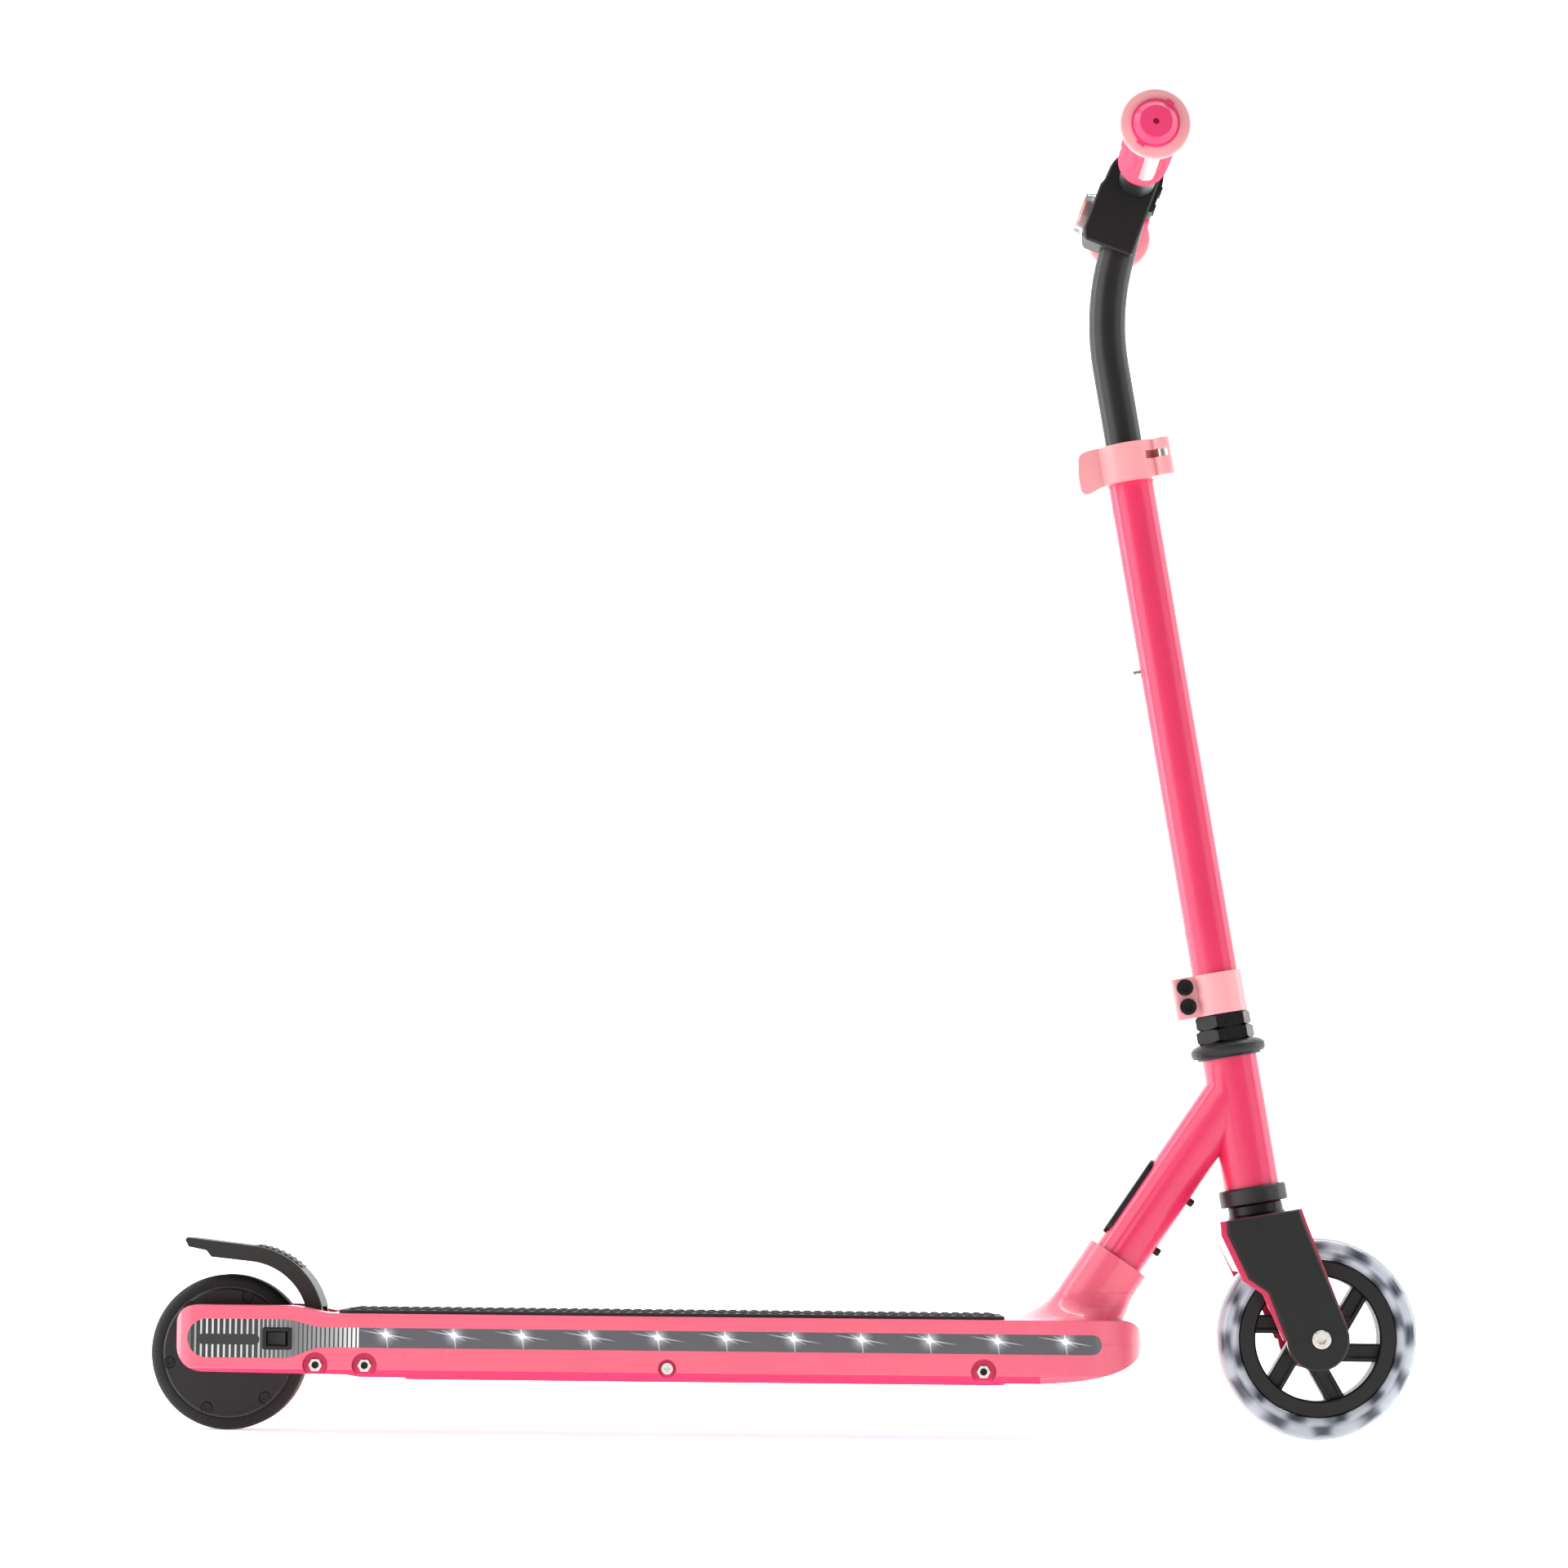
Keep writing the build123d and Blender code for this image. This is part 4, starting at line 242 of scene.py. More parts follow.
# ------------------------------------------------------------------ painted steel frame
# Head tube, down tube, fork and column are welded steel tube, powder coated in a bright pink and
# baked, which leaves a glossy skin with a slight orange peel and soft weld fillets.
def powder_coat(name, colour, roughness, peel_mm=1.6, peel_depth_mm=0.010, coat=0.5):
    finish, tree, out = blank_finish(name)
    where = add_node(tree, "ShaderNodeTexCoord").outputs["Object"]
    peel = add_node(tree, "ShaderNodeTexNoise", None, {"Vector": where, "Scale": 1000 / peel_mm, "Detail": 1.5})
    cloud = add_node(tree, "ShaderNodeTexNoise", None, {"Vector": where, "Scale": 1000 / 45, "Detail": 2.0})
    tone = add_node(tree, "ShaderNodeMapRange", None, {"Value": cloud.outputs[0], "From Min": 0.3, "From Max": 0.7,
                                                       "To Min": 0.97, "To Max": 1.03})
    pigment = add_node(tree, "ShaderNodeHueSaturation", None, {"Color": linear(colour), "Value": tone.outputs[0]})
    soft_edge = add_node(tree, "ShaderNodeBevel", {"samples": 4}, {"Radius": edge_soft})
    relief = add_node(tree, "ShaderNodeBump", None, {"Strength": 1.0, "Distance": peel_depth_mm / 1000,
                                                     "Height": peel.outputs[0], "Normal": soft_edge.outputs[0]})
    shader = add_node(tree, "ShaderNodeBsdfPrincipled", None,
                      {"Base Color": pigment.outputs[0], "Roughness": roughness, "IOR": 1.5, "Coat Weight": coat,
                       "Coat Roughness": 0.12, "Normal": relief.outputs[0]})
    tree.links.new(shader.outputs[0], out.inputs[0])
    return finish


pink_powder = powder_coat("pink_powder_coat", "E22C5E", 0.40)
dress(pink_powder, "neck_frame", "fork", "column_tube")
pale_powder = powder_coat("pale_pink_powder_coat", "F8A6AA", 0.42)
dress(pale_powder, "clamp_ring", "column_collar", "clamp_lever")
black_powder = powder_coat("black_satin_powder_coat", "121212", 0.42, coat=0.12)
dress(black_powder, "t_bar", "headset_cups")

# ------------------------------------------------------------------ plated and blackened steel
# Axles, nuts and screws are turned steel, zinc plated or black oxided; bearings are ground steel.
def turned_steel(name, colour, roughness, metallic=1.0):
    finish, tree, out = blank_finish(name)
    where = add_node(tree, "ShaderNodeTexCoord").outputs["Object"]
    turning = add_node(tree, "ShaderNodeTexNoise", None, {"Vector": where, "Scale": 1000 / 1.2, "Detail": 3.0})
    wear = add_node(tree, "ShaderNodeMapRange", None, {"Value": turning.outputs[0], "From Min": 0.35, "From Max": 0.65,
                                                       "To Min": roughness * 0.8, "To Max": roughness * 1.25})
    soft_edge = add_node(tree, "ShaderNodeBevel", {"samples": 4}, {"Radius": 0.0003})
    relief = add_node(tree, "ShaderNodeBump", None, {"Distance": 0.00001, "Height": turning.outputs[0],
                                                     "Normal": soft_edge.outputs[0]})
    shader = add_node(tree, "ShaderNodeBsdfPrincipled", None,
                      {"Base Color": linear(colour), "Metallic": metallic, "Roughness": wear.outputs[0],
                       "Normal": relief.outputs[0]})
    tree.links.new(shader.outputs[0], out.inputs[0])
    return finish


zinc_steel = turned_steel("zinc_plated_steel", "E4E0D8", 0.24)
black_steel = turned_steel("black_oxide_steel", "343434", 0.32)
bearing_steel = turned_steel("ground_bearing_steel", "C9CACC", 0.18)
dress(zinc_steel, "front_axle", "front_axle_spacers", "motor_axle", "axle_nuts", "side_fixings", "clamp_skewer",
      "snap_button", "deck_plate", "fender_pin")
dress(black_steel, "headset_nuts", "crown_race", "collar_bolts", "deck_screws", "motor_cover_screws", "housing_screws")
dress(bearing_steel, "headset_bearings", "front_bearings", "motor_bearings")

# ------------------------------------------------------------------ black plastic parts
# Fork covers, wheel rim, dust cover, throttle housing and switches are glass-filled nylon, moulded
# with a fine spark-eroded grain that keeps them satin.
black_nylon = moulded_plastic("black_nylon_grained", "0C0C0C", 0.50, 0.7, 0.02)
rim_nylon = moulded_plastic("rim_nylon_moulded", "100E0E", 0.40, 1.2, 0.01)
dress(black_nylon, "fork_covers", "throttle_housing", "housing_cover", "switch_bezel", "rocker_cap",
      "charging_socket", "column_bush", "throttle_switch")
dress(rim_nylon, "front_rim", "dust_cover")
warm_grey = moulded_plastic("fender_polypropylene", "211F1E", 0.48, 0.9, 0.02)
dress(warm_grey, "fender")
cover_grey = moulded_plastic("motor_cover_painted_alloy", "141415", 0.42, 0.9, 0.012)
dress(cover_grey, "motor_covers")
neck_pad_rubber = moulded_plastic("neck_pad_rubber", "101012", 0.32, 0.9, 0.02)
dress(neck_pad_rubber, "neck_pad")
tyre_rubber = moulded_plastic("rear_tyre_rubber", "131212", 0.66, 0.8, 0.03)
dress(tyre_rubber, "rear_tyre")
dress(pale_abs, "grip_flanges")
dress(deep_pink_abs, "end_caps")

# ------------------------------------------------------------------ front wheel
# The tyre is cast urethane over a nylon rim, lit by a ring of light diodes. Its milky glow and the
# soft dark gaps between the diodes are a pattern in a mostly opaque material.
def cut_profile(profile, centre, steps):
    """Turns a closed profile of (y, radius) points round the wheel's axle."""
    form = bmesh.new()
    rings = []
    for i in range(steps):
        turn = 2 * pi * i / steps
        rings.append([form.verts.new((centre[0] + r * cos(turn), y, centre[1] + r * sin(turn)))
                      for y, r in profile])
    for i in range(steps):
        here, after = rings[i], rings[(i + 1) % steps]
        for j in range(len(profile)):
            k = (j + 1) % len(profile)
            form.faces.new((here[j], after[j], after[k], here[k]))
    bmesh.ops.recalc_face_normals(form, faces=form.faces)
    return form


tyre_low, tyre_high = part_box("front_tyre")
front_hub = ((tyre_low[0] + tyre_high[0]) / 2, (tyre_low[2] + tyre_high[2]) / 2)
tyre_r = (tyre_high[2] - tyre_low[2]) / 2
tyre_half = tyre_high[1]
seat_r = 0.0470
shoulder = 10
tyre_profile = [(-tyre_half * 0.93, seat_r), (-tyre_half * 0.985, 0.0492), (-tyre_half, 0.0510),
                (-tyre_half * 0.975, 0.0518), (-tyre_half * 0.985, 0.0526)]
tyre_profile += [(-tyre_half * cos(pi / 2 * i / shoulder) ** 0.8,
                  0.0526 + (tyre_r - 0.0526) * sin(pi / 2 * i / shoulder))
                 for i in range(1, shoulder)]
tyre_profile += [(0.0, tyre_r)] + [(-y, r) for y, r in reversed(tyre_profile)]

clear_urethane, tree, out = blank_finish("clear_cast_urethane")
where = add_node(tree, "ShaderNodeTexCoord").outputs["Object"]
from_hub = add_node(tree, "ShaderNodeVectorMath", {"operation": "SUBTRACT"},
                    {0: where, 1: (front_hub[0], 0.0, front_hub[1])})
axes = add_node(tree, "ShaderNodeSeparateXYZ", None, {0: from_hub.outputs[0]})
turn = add_node(tree, "ShaderNodeMath", {"operation": "ARCTAN2"}, {0: axes.outputs[2], 1: axes.outputs[0]})
flat = add_node(tree, "ShaderNodeCombineXYZ", None, {0: axes.outputs[0], 2: axes.outputs[2]})
reach = add_node(tree, "ShaderNodeVectorMath", {"operation": "LENGTH"}, {0: flat.outputs[0]})
waver = add_node(tree, "ShaderNodeTexNoise", None, {"Vector": where, "Scale": 1000 / 16, "Detail": 1.0})
diodes = 12
patterns = []
for phase, wander in ((0.4, 2.6), (2.2, 3.4)):
    spin = add_node(tree, "ShaderNodeMath", {"operation": "MULTIPLY_ADD"},
                    {0: turn.outputs[0], 1: float(diodes), 2: phase})
    loose = add_node(tree, "ShaderNodeMath", {"operation": "MULTIPLY_ADD"},
                     {0: waver.outputs[0], 1: wander, 2: spin.outputs[0]})
    wave = add_node(tree, "ShaderNodeMath", {"operation": "SINE"}, {0: loose.outputs[0]})
    patterns.append(add_node(tree, "ShaderNodeMapRange", {"interpolation_type": "SMOOTHSTEP"},
                             {"Value": wave.outputs[0], "From Min": -1.15, "From Max": 0.75}))
outer_band = add_node(tree, "ShaderNodeMapRange", {"interpolation_type": "SMOOTHSTEP"},
                      {"Value": reach.outputs["Value"], "From Min": 0.0496, "From Max": 0.0534})
bands = add_node(tree, "ShaderNodeMix", {"data_type": "FLOAT"},
                 {0: outer_band.outputs[0], 2: patterns[0].outputs[0], 3: patterns[1].outputs[0]})
crown_glow = add_node(tree, "ShaderNodeMapRange", {"interpolation_type": "SMOOTHSTEP"},
                      {"Value": reach.outputs["Value"], "From Min": 0.0560, "From Max": 0.0592})
lit = add_node(tree, "ShaderNodeMath", {"operation": "MAXIMUM"}, {0: bands.outputs[0], 1: crown_glow.outputs[0]})
milk = add_node(tree, "ShaderNodeMix", {"data_type": "RGBA"},
                {0: lit.outputs[0], 6: linear("3C4250"), 7: linear("B9BEC6")})
shine = add_node(tree, "ShaderNodeMath", {"operation": "MULTIPLY"}, {0: lit.outputs[0], 1: 0.10})
shader = add_node(tree, "ShaderNodeBsdfPrincipled", None,
                  {"Base Color": milk.outputs[2], "Roughness": 0.12, "IOR": 1.45, "Transmission Weight": 0.15,
                   "Coat Weight": 0.5, "Coat Roughness": 0.04, "Emission Color": linear("DCEBFF"),
                   "Emission Strength": shine.outputs[0]})
tree.links.new(shader.outputs[0], out.inputs[0])
clear_tyre = piece_of("front_tyre_clear", cut_profile(tyre_profile, front_hub, 160), clear_urethane)
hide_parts("front_tyre")
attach(clear_tyre, "front_wheel")

diode_glow, tree, out = blank_finish("light_diode_lit")
shader = add_node(tree, "ShaderNodeBsdfPrincipled", None,
                  {"Base Color": linear("F4F8FF"), "Roughness": 0.3, "Emission Color": linear("E4F0FF"),
                   "Emission Strength": 2.2})
tree.links.new(shader.outputs[0], out.inputs[0])
dress(diode_glow, "wheel_light_ring")

# ------------------------------------------------------------------ light strips
# Smoked polycarbonate lenses lie flush in both sides of the deck. White diodes on a board behind
# them make a hot point with a soft halo, and thin streaks of painted glint are drawn across the lens.
strip_low, strip_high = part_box("light_strips")
strip_z = (strip_low[2] + strip_high[2]) / 2
lamp_first, lamp_pitch = -0.2342, 0.03987
smoked_lens, tree, out = blank_finish("smoked_polycarbonate_lens")
where = add_node(tree, "ShaderNodeTexCoord").outputs["Object"]
axes = add_node(tree, "ShaderNodeSeparateXYZ", None, {0: where})
from_first = add_node(tree, "ShaderNodeMath", {"operation": "SUBTRACT"}, {0: axes.outputs[0], 1: lamp_first})
along = add_node(tree, "ShaderNodeMath", {"operation": "WRAP"},
                 {0: from_first.outputs[0], 1: lamp_pitch / 2, 2: -lamp_pitch / 2})
across = add_node(tree, "ShaderNodeMath", {"operation": "SUBTRACT"}, {0: axes.outputs[2], 1: strip_z + 0.0019})
spot = add_node(tree, "ShaderNodeCombineXYZ", None, {0: along.outputs[0], 1: across.outputs[0]})
away = add_node(tree, "ShaderNodeVectorMath", {"operation": "LENGTH"}, {0: spot.outputs[0]})
glow = None
for reach_mm, strength in ((2.6, 5.0), (9.0, 0.8)):
    halo = add_node(tree, "ShaderNodeMapRange", None,
                    {"Value": away.outputs["Value"], "From Min": 0.0, "From Max": reach_mm / 1000,
                     "To Min": 1.0, "To Max": 0.0})
    soft = add_node(tree, "ShaderNodeMath", {"operation": "POWER"}, {0: halo.outputs[0], 1: 2.6})
    part = add_node(tree, "ShaderNodeMath", {"operation": "MULTIPLY"}, {0: soft.outputs[0], 1: strength})
    glow = part if glow is None else add_node(tree, "ShaderNodeMath", {"operation": "ADD"},
                                              {0: glow.outputs[0], 1: part.outputs[0]})
# Thin streaks of painted glint: emission lines at three slants through each diode, fading outwards.
for lean, glint_reach_mm in ((-9.0, 17.0), (98.0, 12.0), (-24.0, 9.0)):
    off = add_node(tree, "ShaderNodeVectorMath", {"operation": "DOT_PRODUCT"},
                   {0: spot.outputs[0], 1: (-sin(radians(lean)), cos(radians(lean)), 0.0)})
    offset = add_node(tree, "ShaderNodeMath", {"operation": "ABSOLUTE"}, {0: off.outputs["Value"]})
    thin = add_node(tree, "ShaderNodeMapRange", None, {"Value": offset.outputs[0], "From Min": 0.0,
                                                       "From Max": 0.00055, "To Min": 1.0, "To Max": 0.0})
    fade = add_node(tree, "ShaderNodeMapRange", None,
                    {"Value": away.outputs["Value"], "From Min": 0.0, "From Max": glint_reach_mm / 1000,
                     "To Min": 0.9, "To Max": 0.0})
    painted_glint = add_node(tree, "ShaderNodeMath", {"operation": "MULTIPLY"}, {0: thin.outputs[0], 1: fade.outputs[0]})
    glow = add_node(tree, "ShaderNodeMath", {"operation": "ADD"}, {0: glow.outputs[0], 1: painted_glint.outputs[0]})
shader = add_node(tree, "ShaderNodeBsdfPrincipled", None,
                  {"Base Color": linear("4E4E54"), "Roughness": 0.16, "IOR": 1.58, "Coat Weight": 0.3,
                   "Emission Color": linear("F6FAFF"), "Emission Strength": glow.outputs[0]})
tree.links.new(shader.outputs[0], out.inputs[0])
dress(smoked_lens, "light_strips")

# ------------------------------------------------------------------ rear side panels
# Printed polyester panels under a gloss film: black at the rear, fading forward through greys to
# white, with upright pinstripes and a plain black capsule. They frame the power switch.
panel_low, panel_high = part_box("graphic_panels")
switch_low, switch_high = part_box("switch_bezel")
printed_film, tree, out = blank_finish("printed_polyester_film")
where = add_node(tree, "ShaderNodeTexCoord").outputs["Object"]
axes = add_node(tree, "ShaderNodeSeparateXYZ", None, {0: where})
shade = add_node(tree, "ShaderNodeMapRange", None, {"Value": axes.outputs[0], "From Min": panel_low[0],
                                                    "From Max": panel_high[0]})
ground = add_node(tree, "ShaderNodeValToRGB", None, {"Fac": shade.outputs[0]})
ramp = ground.color_ramp
for place, colour in ((0.0, "1A1A1C"), (0.40, "2A2A2C"), (0.62, "6E6E70"), (0.86, "A9A9AB"), (1.0, "F2F2F2")):
    stop = ramp.elements.new(place) if place not in (0.0, 1.0) else ramp.elements[0 if place == 0.0 else -1]
    stop.color = linear(colour)
ink = add_node(tree, "ShaderNodeValToRGB", None, {"Fac": shade.outputs[0]})
for place, colour in ((0.0, "202022"), (0.10, "D8D8D8"), (0.50, "B4B4B6"), (0.66, "3A3A3C"), (1.0, "2A2A2C")):
    stop = ink.color_ramp.elements.new(place) if place not in (0.0, 1.0) else \
        ink.color_ramp.elements[0 if place == 0.0 else -1]
    stop.color = linear(colour)
stripes = []
for pitch_mm, line_mm in ((3.4, 1.15), (2.6, 0.9)):
    saw = add_node(tree, "ShaderNodeMath", {"operation": "WRAP"}, {0: axes.outputs[0], 1: pitch_mm / 1000, 2: 0.0})
    stripes.append(add_node(tree, "ShaderNodeMath", {"operation": "LESS_THAN"}, {0: saw.outputs[0], 1: line_mm / 1000}))
ahead = add_node(tree, "ShaderNodeMath", {"operation": "GREATER_THAN"}, {0: axes.outputs[0], 1: switch_low[0]})
stripe = add_node(tree, "ShaderNodeMix", {"data_type": "FLOAT"},
                  {0: ahead.outputs[0], 2: stripes[0].outputs[0], 3: stripes[1].outputs[0]})
capsule_x0, capsule_x1, capsule_z, capsule_r = -0.3418, -0.3116, 0.0546, 0.0031
clamped = add_node(tree, "ShaderNodeClamp", None, {"Value": axes.outputs[0], "Min": capsule_x0, "Max": capsule_x1})
capsule_dx = add_node(tree, "ShaderNodeMath", {"operation": "SUBTRACT"}, {0: axes.outputs[0], 1: clamped.outputs[0]})
capsule_dz = add_node(tree, "ShaderNodeMath", {"operation": "SUBTRACT"}, {0: axes.outputs[2], 1: capsule_z})
capsule_off = add_node(tree, "ShaderNodeCombineXYZ", None, {0: capsule_dx.outputs[0], 1: capsule_dz.outputs[0]})
capsule_d = add_node(tree, "ShaderNodeVectorMath", {"operation": "LENGTH"}, {0: capsule_off.outputs[0]})
outside = add_node(tree, "ShaderNodeMath", {"operation": "GREATER_THAN"}, {0: capsule_d.outputs["Value"], 1: capsule_r})
print_mix = add_node(tree, "ShaderNodeMix", {"data_type": "RGBA"},
                     {0: stripe.outputs[0], 6: ground.outputs[0], 7: ink.outputs[0]})
capsule_mix = add_node(tree, "ShaderNodeMix", {"data_type": "RGBA"},
                       {0: outside.outputs[0], 6: linear("141416"), 7: print_mix.outputs[2]})
shader = add_node(tree, "ShaderNodeBsdfPrincipled", None,
                  {"Base Color": capsule_mix.outputs[2], "Roughness": 0.28, "Coat Weight": 0.5,
                   "Coat Roughness": 0.06})
tree.links.new(shader.outputs[0], out.inputs[0])
dress(printed_film, "graphic_panels")

# ------------------------------------------------------------------ grip mat
# A moulded rubber mat glued to the deck, with rows of low oval studs that grip the shoe and show
# as small bumps along its edge.
mat_low, mat_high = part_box("grip_mat")
stud_height, stud_pitch, mat_corner, mat_bevel = 0.0007, 0.0062, 0.008, 0.0008
mat_top = mat_high[2] - stud_height * 0.55
mat_rubber = moulded_plastic("mat_rubber_moulded", "2B2A2B", 0.66, 0.8, 0.04)


def rounded_outline(low, high, corner, inset, per_corner=8):
    """Corner-rounded rectangle in x and y, anticlockwise."""
    points = []
    for cx, cy, start in ((high[0] - corner, high[1] - corner, 0), (low[0] + corner, high[1] - corner, 90),
                          (low[0] + corner, low[1] + corner, 180), (high[0] - corner, low[1] + corner, 270)):
        for i in range(per_corner + 1):
            a = radians(start + 90 * i / per_corner)
            points.append((cx + (corner - inset) * cos(a), cy + (corner - inset) * sin(a)))
    return points


def stacked(outlines):
    """A closed form through outlines of equal length, each with its height."""
    form = bmesh.new()
    rings = [[form.verts.new((x, y, z)) for x, y in points] for points, z in outlines]
    for low, high in zip(rings, rings[1:]):
        for i in range(len(low)):
            j = (i + 1) % len(low)
            form.faces.new((low[i], low[j], high[j], high[i]))
    form.faces.new(list(reversed(rings[0])))
    form.faces.new(rings[-1])
    return form


mat_levels = [(0.0, mat_low[2]), (0.0, mat_top - mat_bevel), (mat_bevel * 0.3, mat_top - mat_bevel * 0.3),
              (mat_bevel, mat_top)]
mat_body = piece_of("mat_body", stacked([(rounded_outline(mat_low, mat_high, mat_corner, inset), z)
                                         for inset, z in mat_levels]), mat_rubber)
for face in mat_body.data.polygons:
    face.use_smooth = False

studs = bpy.data.node_groups.new("mat_studs", "GeometryNodeTree")
studs.interface.new_socket("Geometry", in_out="INPUT", socket_type="NodeSocketGeometry")
for name in ("Length", "Width", "Pitch", "Height"):
    studs.interface.new_socket(name, in_out="INPUT", socket_type="NodeSocketFloat")
for name, kind in (("Middle", "NodeSocketVector"), ("Rubber", "NodeSocketMaterial")):
    studs.interface.new_socket(name, in_out="INPUT", socket_type=kind)
studs.interface.new_socket("Geometry", in_out="OUTPUT", socket_type="NodeSocketGeometry")
given = add_node(studs, "NodeGroupInput")
counts = []
for size in (1, 2):
    ratio = add_node(studs, "ShaderNodeMath", {"operation": "DIVIDE"}, {0: given.outputs[size], 1: given.outputs[3]})
    counts.append(add_node(studs, "ShaderNodeMath", {"operation": "FLOOR"}, {0: ratio.outputs[0]}))
field = add_node(studs, "GeometryNodeMeshGrid", None,
                 {"Size X": given.outputs[1], "Size Y": given.outputs[2], "Vertices X": counts[0].outputs[0],
                  "Vertices Y": counts[1].outputs[0]})
spots = add_node(studs, "GeometryNodeInputPosition")
spot_axes = add_node(studs, "ShaderNodeSeparateXYZ", None, {0: spots.outputs[0]})
row = add_node(studs, "ShaderNodeMath", {"operation": "DIVIDE"}, {0: spot_axes.outputs[1], 1: given.outputs[3]})
odd = add_node(studs, "ShaderNodeMath", {"operation": "PINGPONG"}, {0: row.outputs[0], 1: 1.0})
half_step = add_node(studs, "ShaderNodeMath", {"operation": "MULTIPLY"}, {0: odd.outputs[0], 1: given.outputs[3]})
stagger = add_node(studs, "ShaderNodeMath", {"operation": "MULTIPLY"}, {0: half_step.outputs[0], 1: 0.5})
shift = add_node(studs, "ShaderNodeCombineXYZ", None, {0: stagger.outputs[0]})
placed = add_node(studs, "ShaderNodeVectorMath", {"operation": "ADD"}, {0: shift.outputs[0], 1: given.outputs[5]})
staggered = add_node(studs, "GeometryNodeSetPosition", None, {"Geometry": field.outputs[0],
                                                              "Offset": placed.outputs[0]})
stud = add_node(studs, "GeometryNodeMeshCone", None, {"Vertices": 8, "Radius Top": 0.35, "Radius Bottom": 0.5,
                                                      "Depth": 1.0})
stud_size = add_node(studs, "ShaderNodeCombineXYZ", None, {0: 0.0046, 1: 0.0030, 2: given.outputs[4]})
grown = add_node(studs, "GeometryNodeTransform", None, {"Geometry": stud.outputs[0], "Scale": stud_size.outputs[0]})
laid = add_node(studs, "GeometryNodeInstanceOnPoints", None, {"Points": staggered.outputs[0],
                                                              "Instance": grown.outputs[0]})
real = add_node(studs, "GeometryNodeRealizeInstances", None, {"Geometry": laid.outputs[0]})
inked = add_node(studs, "GeometryNodeSetMaterial", None, {"Geometry": real.outputs[0], "Material": given.outputs[6]})
add_node(studs, "NodeGroupOutput", None, {0: inked.outputs[0]})


def grown_piece(name, tree, values, body):
    """Runs a geometry tree once and keeps the result as a plain mesh that rides on a body."""
    seed = bpy.data.objects.new(name + "_seed", bpy.data.meshes.new(name + "_seed"))
    scene.collection.objects.link(seed)
    run = seed.modifiers.new("grow", "NODES")
    run.node_group = tree
    for item in tree.interface.items_tree:
        if item.item_type == "SOCKET" and item.in_out == "INPUT" and item.name in values:
            run[item.identifier] = values[item.name]
    bpy.context.view_layer.update()
    mesh = bpy.data.meshes.new_from_object(seed.evaluated_get(bpy.context.evaluated_depsgraph_get()))
    mesh.name = name
    seed.modifiers.remove(run)
    bpy.data.objects.remove(seed)
    made = bpy.data.objects.new(name, mesh)
    scene.collection.objects.link(made)
    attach(made, body)
    return made


mat_studs = grown_piece("mat_studs", studs,
                        {"Length": mat_high[0] - mat_low[0] - 0.016, "Width": mat_high[1] - mat_low[1] - 0.012,
                         "Pitch": stud_pitch, "Height": stud_height,
                         "Middle": ((mat_low[0] + mat_high[0]) / 2 - 0.0015, 0.0, mat_high[2] - stud_height / 2),
                         "Rubber": mat_rubber}, "chassis")
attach(mat_body, "chassis")
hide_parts("grip_mat")

# ------------------------------------------------------------------ grips
# Soft rubber grips, moulded in coral with flutes that curve along them, a plain ring at the inner
# end, and a pale tongue that reaches in from the flange underneath.
grip_low, grip_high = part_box("grips")
bar_x, bar_z = (grip_low[0] + grip_high[0]) / 2, (grip_low[2] + grip_high[2]) / 2
grip_r = (grip_high[2] - grip_low[2]) / 2
flange_low, flange_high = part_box("grip_flanges")
grip_out = grip_high[1]
grip_in = 0.0726
flutes, flute_depth, flute_sweep, around, steps = 12, 0.0012, 0.55, 144, 72
grip_rubber = moulded_plastic("grip_rubber_moulded", "E0546F", 0.75, 0.8, 0.02, ior=1.12)
ring_rubber = moulded_plastic("grip_ring_rubber", "DE1C5C", 0.60, 0.8, 0.01, ior=1.15)
for side, hand in ((-1, "right"), (1, "left")):
    form = bmesh.new()
    rings = []
    for j in range(steps + 1):
        u = j / steps
        end = min(u, 1 - u) * steps
        swell = grip_r - 0.0007 * (1 - sin(pi * u)) - (0.0008 if end < 0.5 else 0.0)
        fade = max(0.0, min(1.0, (end - 5) / 8))
        ring = []
        for i in range(around):
            a = 2 * pi * i / around
            wave = 0.5 + 0.5 * cos(flutes * (a + flute_sweep * sin(pi * u) * side))
            r = swell - flute_depth * fade * wave ** 3
            ring.append(form.verts.new((bar_x + r * cos(a), side * (grip_in + (grip_out - grip_in) * u),
                                        bar_z + r * sin(a))))
        rings.append(ring)
    bore = [[form.verts.new((bar_x + 0.0112 * cos(2 * pi * i / around), side * y,
                             bar_z + 0.0112 * sin(2 * pi * i / around))) for i in range(around)]
            for y in (grip_out, grip_in)]
    loops = rings + bore
    for here, after in zip(loops, loops[1:] + loops[:1]):
        for i in range(around):
            k = (i + 1) % around
            form.faces.new((here[i], here[k], after[k], after[i]))
    bmesh.ops.recalc_face_normals(form, faces=form.faces)
    grip = piece_of("grip_" + hand, form, grip_rubber)
    grip.data.materials.append(ring_rubber)
    for face in grip.data.polygons:
        if abs(face.center.y) < grip_in + 0.0052:
            face.material_index = 1
    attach(grip, "handlebar")
    if side < 0:
        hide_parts("grips")

